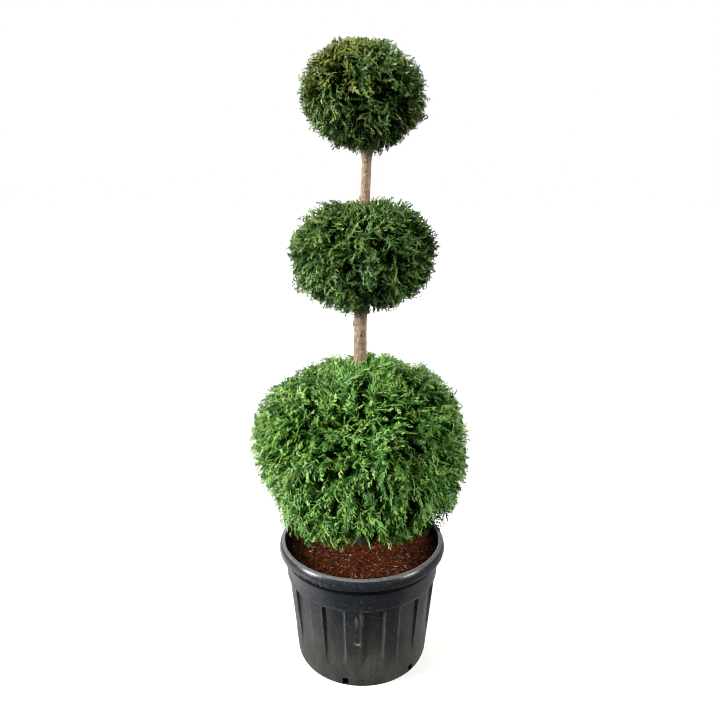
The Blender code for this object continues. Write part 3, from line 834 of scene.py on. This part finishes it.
# Stub
# One side branch under the middle ball was sawn off short. It is a stub with the trunk's bark and a pale,
# greyed face, its edge a little worn.
STUB_HEIGHT = 1.072
STUB_TOWARDS_DEG = -58.0
STUB_RISE_DEG = 16.0
STUB_RADIUS = 0.0065
STUB_LENGTH = 0.040
STUB_EDGE = 0.0008
stub_bm = bmesh.new()
bmesh.ops.create_cone(
    stub_bm, cap_ends=True, segments=20, radius1=1.15 * STUB_RADIUS, radius2=STUB_RADIUS, depth=STUB_LENGTH
)
sawn_face = next(face for face in stub_bm.faces if face.normal.z > 0.9)
sawn_face.material_index = 1
sawn_edges = list(sawn_face.edges)
bmesh.ops.bevel(
    stub_bm, geom=sawn_edges, offset=STUB_EDGE, segments=2, profile=0.5, affect="EDGES", material=-1
)
stub_turn = Matrix.Rotation(math.radians(STUB_TOWARDS_DEG), 4, "Z")
stub_turn = stub_turn @ Matrix.Rotation(math.radians(90.0 - STUB_RISE_DEG), 4, "Y")
stub_out = Matrix.Translation((0.0, 0.0, 0.5 * STUB_LENGTH))
stub_place = Matrix.Translation(trunk_axis(STUB_HEIGHT)) @ stub_turn @ stub_out
bmesh.ops.transform(stub_bm, verts=stub_bm.verts, matrix=stub_place)

sawn_wood = new_material("sawn_wood", 0.9, 0.15)
sawn_grain = noise_at(coords_of(sawn_wood), 500.0)
paint(sawn_wood, {"Base Color": layered((0.2300, 0.2250, 0.1700), (sawn_grain, (0.5200, 0.5000, 0.4000)))})

stub_mesh = finished_mesh(stub_bm, "trunk_stub")
trunk_stub = new_piece("trunk_stub", stub_mesh, [bark, sawn_wood], smooth_deg=40.0)
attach(trunk_stub, "root")
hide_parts("trunk")

# Boughs and twigs
# In each ball boughs grow out of the trunk all round, fork into twigs short of the clipped face, and each
# twig carries a tuft of sprays. Years of clipping made them many and short.
Ball = namedtuple(
    "Ball",
    "node x height radius rise drop squareness_up squareness_down lumps droop seed"
    " boughs bough_girth twigs twig_depth swells",
)
# A swell is where the clipping left a ball fuller, or flatter, than round: a direction and how far.
BALLS = (
    Ball(
        "foliage_lower", 0.000, 0.655, 0.318, 0.275, 0.262, 2.65, 2.25, 0.020, 0.40, 11,
        46, 0.0062, 640, 0.085,
        ((-0.86, -0.22, -0.47, -0.052), (-0.97, 0.00, -0.15, 0.012), (-0.52, -0.52, -0.68, 0.024),
         (0.40, 0.00, 0.92, 0.008), (-0.12, -0.10, 1.00, 0.010), (0.97, 0.00, 0.25, 0.004),
         (0.85, 0.00, 0.53, -0.012), (0.84, -0.10, -0.55, -0.012)),
    ),
    Ball(
        "foliage_middle", 0.002, 1.231, 0.203, 0.153, 0.155, 2.25, 2.05, 0.016, 0.10, 23,
        28, 0.0048, 300, 0.060,
        ((-0.78, 0.00, 0.63, 0.012), (-0.22, 0.00, 0.97, -0.012), (0.72, 0.00, 0.69, 0.010),
         (0.05, -0.30, -1.00, -0.011)),
    ),
    Ball(
        "foliage_top", 0.006, 1.632, 0.168, 0.147, 0.139, 2.05, 1.90, 0.012, 0.05, 37,
        22, 0.0040, 240, 0.052,
        ((0.20, 0.00, 1.00, -0.012), (-0.80, 0.00, 0.60, 0.014), (0.80, 0.00, -0.60, -0.012),
         (-0.50, 0.00, -0.86, -0.010), (0.84, 0.00, 0.54, -0.014)),
    ),
)
BALL_LUMPS_ROUND = 2.3
SWELL_NARROW = 9.0
GOLDEN_TURN = math.pi * (3.0 - math.sqrt(5.0))
# How far under the face boughs end, as a share of the radius, and how much they climb for their reach.
BOUGH_ENDS = (0.34, 0.46)
BOUGH_CLIMB = (0.25, 0.55)
BOUGH_TAPER = 0.4
BOUGH_SAMPLES = 9
TWIG_ENDS = (0.85, 1.2)
TWIG_SAMPLES = 6
TWIG_RADII = (0.0019, 0.0010)
FOLIAGE_TO_TRUNK = 0.003
FOLIAGE_TO_SOIL = 0.008
FOLIAGE_TO_LIP = 0.006


def ball_point(ball, level, angle, depth=0.0):
    """A point of the clipped face at a level from -1, the lowest, to 1, or at a depth under the face."""
    reach = (ball.rise if level > 0.0 else ball.drop) - depth
    squareness = ball.squareness_up if level > 0.0 else ball.squareness_down
    across = (1.0 - abs(level) ** squareness) ** (1.0 / squareness)
    flat = Vector((math.cos(angle), math.sin(angle), 0.0)) * (ball.radius - depth) * across
    point = flat + Vector((0.0, 0.0, reach * level))
    heading = point.normalized()
    lump = ball.lumps * noise.noise(heading * BALL_LUMPS_ROUND + Vector((ball.seed, 0.0, 0.0)))
    for x, y, z, out in ball.swells:
        lump += out * math.exp(-SWELL_NARROW * (1.0 - heading.dot(Vector((x, y, z)).normalized())))
    return Vector((ball.x, 0.0, ball.height)) + point * (1.0 + lump / ball.radius)


def in_own_space(point):
    """Whether a point of the foliage keeps clear of the trunk, the soil and the pot's lip."""
    if point.z < SOIL_TOP + FOLIAGE_TO_SOIL:
        return False
    if point.z < TRUNK_TIP:
        offset = point - trunk_axis(point.z)
        if math.hypot(offset.x, offset.y) < read_curve(TRUNK_GIRTH, point.z)[0] + FOLIAGE_TO_TRUNK:
            return False
    over_lip = math.hypot(point.x, point.y) > LIP_INNER_RADIUS - FOLIAGE_TO_LIP
    return not (over_lip and point.z < POT_HEIGHT + FOLIAGE_TO_LIP)


def bent_line(start, lean, end, count):
    """Points from start to end on a curve that sets out towards lean."""
    shares = [i / (count - 1) for i in range(count)]
    return [start.lerp(lean, share).lerp(lean.lerp(end, share), share) for share in shares]


def grow_boughs(ball, draw):
    """The ball's boughs as lists of points, from inside the trunk's bark to well short of the face."""
    lines = []
    for i in range(ball.boughs):
        level = 1.0 - 2.0 * (i + 0.5) / ball.boughs
        angle = i * GOLDEN_TURN + draw.uniform(-0.25, 0.25)
        end = ball_point(ball, level * 0.94, angle, ball.radius * draw.uniform(*BOUGH_ENDS))
        away = math.hypot(end.x - ball.x, end.y)
        foot = max(end.z - away * draw.uniform(*BOUGH_CLIMB), ball.height - 0.86 * ball.drop)
        foot = min(foot, ball.height + 0.80 * ball.rise, TRUNK_TIP - 0.02)
        axis = trunk_axis(foot)
        outward = Vector((end.x - axis.x, end.y - axis.y, 0.0)).normalized()
        start = axis + outward * 0.7 * trunk_radius(foot, math.atan2(outward.y, outward.x))
        lean = start.lerp(end, 0.5) + Vector((0.0, 0.0, away * (0.10 - 0.35 * ball.droop)))
        lines.append(bent_line(start, lean, end, BOUGH_SAMPLES))
    return lines


def grow_twigs(ball, boughs, draw):
    """The ball's twigs as lists of points, each from the nearest fitting place of a bough."""
    forks = []
    for line in boughs:
        for before, place, after in zip(line[1:], line[2:], line[3:] + line[-1:]):
            forks.append((place, (after - before).normalized()))
    spots = np.array([place[:] for place, _ in forks])
    inward = np.hypot(spots[:, 0] - ball.x, spots[:, 1])
    lines = []
    for i in range(ball.twigs):
        level = 1.0 - 2.0 * (i + 0.5) / ball.twigs
        angle = i * GOLDEN_TURN + draw.uniform(-0.10, 0.10)
        end = ball_point(ball, level, angle, ball.twig_depth * draw.uniform(*TWIG_ENDS))
        if not in_own_space(end):
            continue
        gaps = np.linalg.norm(spots - np.array(end[:]), axis=1)
        beyond = np.maximum(inward - math.hypot(end.x - ball.x, end.y), 0.0)
        best = int(np.argmin(gaps + 1.5 * beyond))
        start, heading = forks[best]
        lines.append(bent_line(start, start + heading * gaps[best] * 0.45, end, TWIG_SAMPLES))
    return lines


def tube_mesh(name, lines, thick, thin, sides):
    """One mesh of round limbs along lines of points, each tapering from thick to thin."""
    curve = bpy.data.curves.new(name, "CURVE")
    curve.dimensions = "3D"
    curve.bevel_depth = 1.0
    curve.bevel_resolution = (sides - 4) // 2
    for line in lines:
        spline = curve.splines.new("POLY")
        spline.points.add(len(line) - 1)
        for i, point in enumerate(line):
            spline.points[i].co = (*point, 1.0)
            spline.points[i].radius = thick + (thin - thick) * (i / (len(line) - 1)) ** 0.8
    mesh = evaluated_mesh(place_object(name, curve))
    bpy.data.curves.remove(curve)
    mesh.materials.clear()
    mesh.name = name
    return mesh


bough_bark = new_material("bough_bark", 0.85, 0.2)
bough_spots = ramp(noise_at(coords_of(bough_bark), 220.0, detail=4.0), 0.35, 0.65)
bough_colour = layered((0.0300, 0.0200, 0.0120), (bough_spots, (0.1000, 0.0660, 0.0400)))
paint(bough_bark, {"Base Color": bough_colour})
twig_bark = new_material("twig_bark", 0.8, 0.2, (0.0460, 0.0380, 0.0160))

ball_twigs = {}
for ball in BALLS:
    draw = random.Random(ball.seed)
    boughs = grow_boughs(ball, draw)
    twigs = grow_twigs(ball, boughs, draw)
    ball_twigs[ball.node] = twigs
    limbs = (
        ("boughs", boughs, ball.bough_girth, BOUGH_TAPER * ball.bough_girth, 8, bough_bark),
        ("twigs", twigs, *TWIG_RADII, 6, twig_bark),
    )
    for kind, lines, thick, thin, sides, material in limbs:
        limb_name = f"{ball.node}_{kind}"
        limb_mesh = tube_mesh(limb_name, lines, thick, thin, sides)
        limb_piece = new_piece(limb_name, limb_mesh, [material], smooth_deg=60.0)
        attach(limb_piece, "root")
        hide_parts(ball.node)

# Sprays
# The leaves are tiny scales that clothe flat, fern-like sprays. The lower ball has grown out soft, long and
# yellow-green and hangs a little, and the upper ones are clipped tighter, darker and more curled.
Clothing = namedtuple("Clothing", "counts length lean_from arch sway fall roll clump sunny patterns tints")
# The counts are the outer, the shaded and the inner sprays. Each tint is the shaded, the older and the young
# green, and how much of the ball has it.
CLOTHING = {
    "foliage_lower": Clothing((4500, 3000, 1700), 0.062, 8.0, 0.50, 0.28, 0.9, 0.70, 0.14, 0.20, "loose", (
        ((0.0028, 0.0210, 0.0010), (0.0240, 0.0900, 0.0070), (0.1800, 0.3620, 0.0740), 0.45),
        ((0.0024, 0.0190, 0.0010), (0.0180, 0.0750, 0.0060), (0.1220, 0.3050, 0.0580), 0.29),
        ((0.0036, 0.0190, 0.0008), (0.0360, 0.0950, 0.0070), (0.2580, 0.4320, 0.0900), 0.14),
        ((0.0018, 0.0150, 0.0015), (0.0150, 0.0630, 0.0085), (0.0850, 0.2470, 0.0620), 0.10),
        ((0.0040, 0.0110, 0.0015), (0.0380, 0.0560, 0.0100), (0.1900, 0.2450, 0.0800), 0.02),
    )),
    "foliage_middle": Clothing((3300, 2000, 800), 0.050, 6.0, 0.55, 0.36, 0.3, 1.00, 0.20, 0.30, "tight", (
        ((0.0025, 0.0105, 0.0006), (0.0170, 0.0470, 0.0045), (0.1200, 0.2360, 0.0520), 0.45),
        ((0.0020, 0.0095, 0.0006), (0.0125, 0.0390, 0.0040), (0.0830, 0.1880, 0.0420), 0.29),
        ((0.0035, 0.0100, 0.0006), (0.0280, 0.0480, 0.0045), (0.1800, 0.2600, 0.0500), 0.14),
        ((0.0018, 0.0085, 0.0010), (0.0100, 0.0340, 0.0060), (0.0530, 0.1450, 0.0400), 0.10),
        ((0.0030, 0.0070, 0.0010), (0.0220, 0.0300, 0.0060), (0.1200, 0.1450, 0.0440), 0.02),
    )),
    "foliage_top": Clothing((2700, 1700, 640), 0.047, 6.0, 0.55, 0.36, 0.2, 1.00, 0.20, 0.80, "tight", (
        ((0.0025, 0.0085, 0.0005), (0.0170, 0.0370, 0.0035), (0.1200, 0.2260, 0.0470), 0.48),
        ((0.0020, 0.0075, 0.0005), (0.0120, 0.0310, 0.0030), (0.0830, 0.1780, 0.0380), 0.30),
        ((0.0035, 0.0080, 0.0005), (0.0290, 0.0410, 0.0035), (0.2300, 0.2750, 0.0500), 0.10),
        ((0.0018, 0.0070, 0.0008), (0.0100, 0.0300, 0.0045), (0.0500, 0.1280, 0.0310), 0.08),
        ((0.0035, 0.0060, 0.0008), (0.0230, 0.0250, 0.0050), (0.1320, 0.1290, 0.0430), 0.04),
    )),
}
# The inner sprays' near-black greens are painted shade deep inside the balls: each tint and its share.
INNER_SHADE_TINTS = (
    ((0.0022, 0.0085, 0.0006), 0.5),
    ((0.0018, 0.0045, 0.0006), 0.3),
    ((0.0060, 0.0052, 0.0018), 0.2),
)
# How far under the clipped face the tips of each coat lie. The inner coat's deepest is a share of the radius.
OUTER_DEPTHS = (-0.008, 0.010)
SHADED_DEPTHS = (0.012, 0.034)
INNER_DEPTHS = (0.036, 0.30)
LEAN_TO_DEG = 54.0
SPRAY_SIZES = (0.72, 1.25)
CLUMP_SHARES = (0.2, 1.4)
ARCH_SHARES = (0.3, 1.5)
TUFT_STAND = 0.007
STALK_RADII = (0.0008, 0.0006)
# The greens of a spray and how much they shine.
LEAF_PARTS = (("shaded", 0.0), ("old", 0.06), ("young", 0.33))
LEAF_ROUGHNESS = 0.42
# The kinds of sprays: how many shapes of each, how many pairs of shoots, the shoots' reach and width, the
# number of parts of the rib, and how far the shoots lean at its foot and at its end.
SPRAY_KINDS = {
    "loose": (8, 5, 0.33, 0.059, 3, (60.0, 34.0)),
    "tight": (8, 5, 0.28, 0.072, 3, (56.0, 32.0)),
    "inner": (4, 4, 0.52, 0.150, 2, (54.0, 32.0)),
}
RIB_SECTION = ((1.0, -0.018), (0.0, 0.014), (-1.0, -0.018))
RIB_TAPER = 0.84
YOUNG_SHARE = 0.57
# The tips of the lower ball end in scallops over the soil, lowest at the left side of the pot, and leave gaps
# where a tuft stands back.
FRINGE_LEFT = 0.396
FRINGE_FRONT = 0.461
FRINGE_SCALLOP = 0.020
FRINGE_TUFT = 0.016
FRINGE_SCATTER = 0.010
FRINGE_UNDER = 0.020
FRINGE_KEPT = 0.12
FRINGE_INNER_DROP = 0.012
FRINGE_OPEN = 0.060
FRINGE_GAP_DEPTH = 0.065
FRINGE_GAP_TUFTS = 0.0
# Round the trunk the sprays stand upright and close, from the nearest distance to the farthest.
UPRIGHT_NEAR = 0.030
UPRIGHT_FAR = 0.075
UPRIGHT_EXTRA = 0.08
# More sprays on a ball's side towards the lights are painted yellow, a painted light, and more of those on
# its other side and over the soil take the shaded green, a painted shade.
SUNNY_SIDE = (-0.62, -0.36, 0.70)
SUNNY_FROM = 0.55
SUNNY_TINT = 2
SHADY_HEIGHTS = (0.475, 0.590)
SHADY_SHARE = 0.85
SHADY_SIDE_FROM = 0.15
SHADY_SIDE_RUN = 0.7
SHADY_SIDE_SHARE = 0.42


def add_shoot(bm, root, heading, length, width, part):
    """One scaly shoot: two narrow faces that meet in a ridge, curved towards the end of its spray."""
    across = Vector((0.0, 0.0, 1.0)).cross(heading).normalized()
    foot = bm.verts.new(root)
    tip = bm.verts.new(root + heading * length)
    middle = root + heading * length * 0.34 - Vector((0.05 * length, 0.0, 0.35 * width))
    left = bm.verts.new(middle + across * 0.5 * width)
    right = bm.verts.new(middle - across * 0.5 * width)
    for corners in ((foot, tip, left), (foot, right, tip)):
        bm.faces.new(corners).material_index = part


def spray_pattern(draw, pairs, reach, width, rib_parts, lean_deg):
    """A flat spray one unit long along +X, with shoots to both sides in turn that shorten to its end.

    The shoots lean less from the spray towards its end. Part 0 is the older green, and part 1 the young ends.
    """
    bm = bmesh.new()
    rib = [bm.verts.new((0.0, side * 0.34 * width, lift)) for side, lift in RIB_SECTION]
    edges = [bm.edges.new(rib[:2]), bm.edges.new(rib[1:])]
    for _ in range(rib_parts):
        grown = bmesh.ops.extrude_edge_only(bm, edges=edges)["geom"]
        moved = [item for item in grown if isinstance(item, bmesh.types.BMVert)]
        edges = [item for item in grown if isinstance(item, bmesh.types.BMEdge)]
        bmesh.ops.translate(bm, verts=moved, vec=(1.0 / rib_parts, 0.0, 0.0))
        bmesh.ops.scale(bm, verts=moved, vec=(1.0, RIB_TAPER, RIB_TAPER))
    for face in bm.faces:
        face.material_index = int(face.calc_center_median().x > 0.3)
    for i in range(2 * pairs):
        share = 0.16 + 0.80 * (i + draw.uniform(0.25, 0.75)) / (2 * pairs)
        lean = lean_deg[0] + (lean_deg[1] - lean_deg[0]) * share + draw.uniform(-7.0, 7.0)
        lean = math.radians(lean) * (1.0 if i % 2 else -1.0)
        length = reach * min(share / 0.30, 1.0) ** 0.6 * (1.12 - share) ** 0.6 * draw.uniform(0.80, 1.18)
        heading = Vector((math.cos(lean), math.sin(lean), draw.uniform(-0.34, 0.18))).normalized()
        blade = width * draw.uniform(0.85, 1.15)
        young = int(share > 0.26 and draw.random() < YOUNG_SHARE)
        add_shoot(bm, Vector((share, 0.0, 0.006)), heading, length, blade, young)
    add_shoot(bm, Vector((0.90, 0.0, 0.004)), Vector((1.0, 0.0, -0.05)).normalized(), 0.14, width, 1)
    return pattern_of(bm)


def unit_draw(draw):
    """A vector in any direction, no longer than one."""
    while True:
        drawn = Vector((draw.uniform(-1.0, 1.0), draw.uniform(-1.0, 1.0), draw.uniform(-1.0, 1.0)))
        if drawn.length < 1.0:
            return drawn


def fringe_height(angle):
    """The lowest height of the lower ball's tips in a direction."""
    around = Vector((math.cos(angle), math.sin(angle), 0.0))
    middle = FRINGE_LEFT + (FRINGE_FRONT - FRINGE_LEFT) * ease(around.x + 1.0)
    return middle + FRINGE_SCALLOP * noise.noise(around * 5.0)


def place_sprays(ball, clothing, coat, count, draw):
    """Roots, turns, bends and stalks of sprays that fan out of the twigs, tips on the clipped face.

    A spray leans from the face's outward direction and bows outwards, its flat side to the light. The sprays
    of one twig make a tuft: they drift one way and their tips draw together.
    """
    twigs = ball_twigs[ball.node]
    points = [point for line in twigs for point in line]
    tree = kdtree.KDTree(len(points))
    for i, point in enumerate(points):
        tree.insert(point, i)
    tree.balance()
    tuft_stand = [draw.uniform(-1.0, 1.0) for _ in twigs]
    tuft_drift = [unit_draw(draw) for _ in twigs]
    levels = [1.0 - 2.0 * (i + draw.random()) / count for i in range(count)]
    for _ in range(int(UPRIGHT_EXTRA * count)):
        levels.append((1.0 - draw.uniform(0.08, 0.5) ** ball.squareness_up) ** (1.0 / ball.squareness_up))
    placed = []
    for i, level in enumerate(levels):
        angle = i * GOLDEN_TURN + draw.uniform(-0.05, 0.05)
        tip = ball_point(ball, level, angle, draw.uniform(*coat.depths))
        outward = (ball_point(ball, level, angle, -0.02) - ball_point(ball, level, angle, 0.03)).normalized()
        spread = coat.length * draw.uniform(*SPRAY_SIZES)
        twig_place, found, _ = tree.find(tip - outward * spread * 1.1)
        number = found // TWIG_SAMPLES
        hanging = 0.0
        if ball.node == "foliage_lower":
            hanging = fringe_height(angle) + FRINGE_TUFT * (1.0 + tuft_stand[number])
            hanging += draw.uniform(0.0, FRINGE_SCATTER)
            outer = coat.kind == "sprays"
            if outer and tip.z < hanging - FRINGE_UNDER and draw.random() > FRINGE_KEPT:
                continue
            if outer and tuft_stand[number] < FRINGE_GAP_TUFTS and tip.z < hanging + FRINGE_GAP_DEPTH:
                continue
            if coat.kind == "shaded_sprays" and tip.z < hanging + FRINGE_OPEN:
                continue
            if coat.kind == "inner_sprays":
                hanging -= FRINGE_INNER_DROP
            tip.z = max(tip.z, hanging)
        free = 1.0
        if tip.z < TRUNK_TIP:
            axis = trunk_axis(tip.z)
            from_trunk = math.hypot(tip.x - axis.x, tip.y - axis.y)
            free = ease((from_trunk - UPRIGHT_NEAR) / (UPRIGHT_FAR - UPRIGHT_NEAR))
        end = twigs[number][-1]
        over = end + (end - twigs[number][-2]).normalized() * (tip - end).length
        tip = tip.lerp(over, free * coat.clump * draw.uniform(*CLUMP_SHARES))
        tip += outward * coat.stand * (0.8 * tuft_stand[number] * free + draw.uniform(-0.8, 0.6))
        tip.z = max(tip.z, hanging)
        fall = Vector((0.0, 0.0, -clothing.fall * (1.0 - max(level, 0.0))))
        drift = unit_draw(draw) + tuft_drift[number] + fall
        drift = (drift - outward * drift.dot(outward)).normalized()
        lean = math.radians(draw.uniform(clothing.lean_from, LEAN_TO_DEG)) * free
        heading = outward * math.cos(lean) + drift * math.sin(lean)
        face = (outward - heading * heading.dot(outward)).normalized()
        turn = Matrix((heading, face.cross(heading), face)).transposed()
        turn = turn @ Matrix.Rotation(draw.gauss(0.0, clothing.roll), 3, "X")
        bend = (draw.gauss(0.0, clothing.sway), -clothing.arch * draw.uniform(*ARCH_SHARES))
        root = tip - heading * spread
        if all(in_own_space(root.lerp(tip, share)) for share in (0.0, 0.5, 1.0)):
            stalk = (twig_place, root + heading * 0.08 * spread)
            placed.append((root[:], np.array(turn * spread), bend, stalk))
    roots, turns, bends, stalks = zip(*placed)
    return np.array(roots), np.array(turns), np.array(bends), stalks


pattern_draw = random.Random(41)
spray_patterns = {}
for kind, (count, *sizes) in SPRAY_KINDS.items():
    spray_patterns[kind] = [spray_pattern(pattern_draw, *sizes) for _ in range(count)]

stalk_green = new_material("stalk_green", 0.7, 0.1, (0.0260, 0.0420, 0.0090))
inner_shade_greens = []
# near-black inner greens, painted shade
for number, (colour, _) in enumerate(INNER_SHADE_TINTS):
    inner_shade_greens += [new_material(f"inner_green_{number + 1}", 0.8, 0.0, colour)] * 2
inner_shares = [share for _, share in INNER_SHADE_TINTS]

# A coat's materials come in sets, one for each tint. Its sprays' older part takes the one called first.
Coat = namedtuple("Coat", "kind depths length clump stand patterns materials in_set first shares")
for ball in BALLS:
    clothing = CLOTHING[ball.node]
    draw = random.Random(ball.seed + 100)
    chance = np.random.default_rng(ball.seed)
    greens = []
    for number, tint in enumerate(clothing.tints):
        for (part, gloss), colour in zip(LEAF_PARTS, tint):
            green_name = f"{ball.node}_{part}_green_{number + 1}"
            greens.append(new_material(green_name, LEAF_ROUGHNESS, gloss, colour))
    length, clump, patterns = clothing.length, clothing.clump, clothing.patterns
    shares = [tint[-1] for tint in clothing.tints]
    inner_depths = (INNER_DEPTHS[0], INNER_DEPTHS[1] * ball.radius)
    coats = (
        Coat("sprays", OUTER_DEPTHS, length, clump, TUFT_STAND, patterns, greens, 3, 1, shares),
        Coat("shaded_sprays", SHADED_DEPTHS, length, clump, 0.5 * TUFT_STAND, patterns, greens, 3, 0, shares),
        Coat("inner_sprays", inner_depths, 1.3 * length, 0.0, 0.0, "inner", inner_shade_greens, 2, 0, inner_shares),
    )
    stalks = []
    for coat, count in zip(coats, clothing.counts):
        roots, turns, bends, coat_stalks = place_sprays(ball, clothing, coat, count, draw)
        stalks += coat_stalks
        tints = chance.choice(len(coat.shares), len(roots), p=coat.shares)
        # the side towards the lights takes the yellow tint: painted light
        if coat.kind != "inner_sprays":
            away = roots - (ball.x, 0.0, ball.height)
            sunny = away @ np.array(SUNNY_SIDE) / np.linalg.norm(away, axis=1)
            share = clothing.sunny * (sunny - SUNNY_FROM) / (1.0 - SUNNY_FROM)
            tints[chance.random(len(roots)) < share] = SUNNY_TINT
        slots = coat.in_set * tints + coat.first
        # low sprays and those on the far side take the shaded green: painted shade
        if coat.kind == "sprays":
            share = np.interp(roots[:, 2], SHADY_HEIGHTS, (SHADY_SHARE, 0.0))
            share += SHADY_SIDE_SHARE * np.clip((SHADY_SIDE_FROM - sunny) / SHADY_SIDE_RUN, 0.0, 1.0)
            slots -= (chance.random(len(roots)) < share).astype(int)
        shapes = spray_patterns[coat.patterns]
        picks = chance.integers(0, len(shapes), len(roots))
        spray_name = f"{ball.node}_{coat.kind}_1"
        spray_mesh = join_copies(spray_name, shapes, picks, turns, roots, slots, bends)
        spray_piece = new_piece(spray_name, spray_mesh, coat.materials)
        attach(spray_piece, "root")
        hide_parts(ball.node)

    stalk_mesh = tube_mesh(f"{ball.node}_stalks", stalks, *STALK_RADII, 4)
    stalk_piece = new_piece(f"{ball.node}_stalks", stalk_mesh, [stalk_green])
    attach(stalk_piece, "root")
    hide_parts(ball.node)
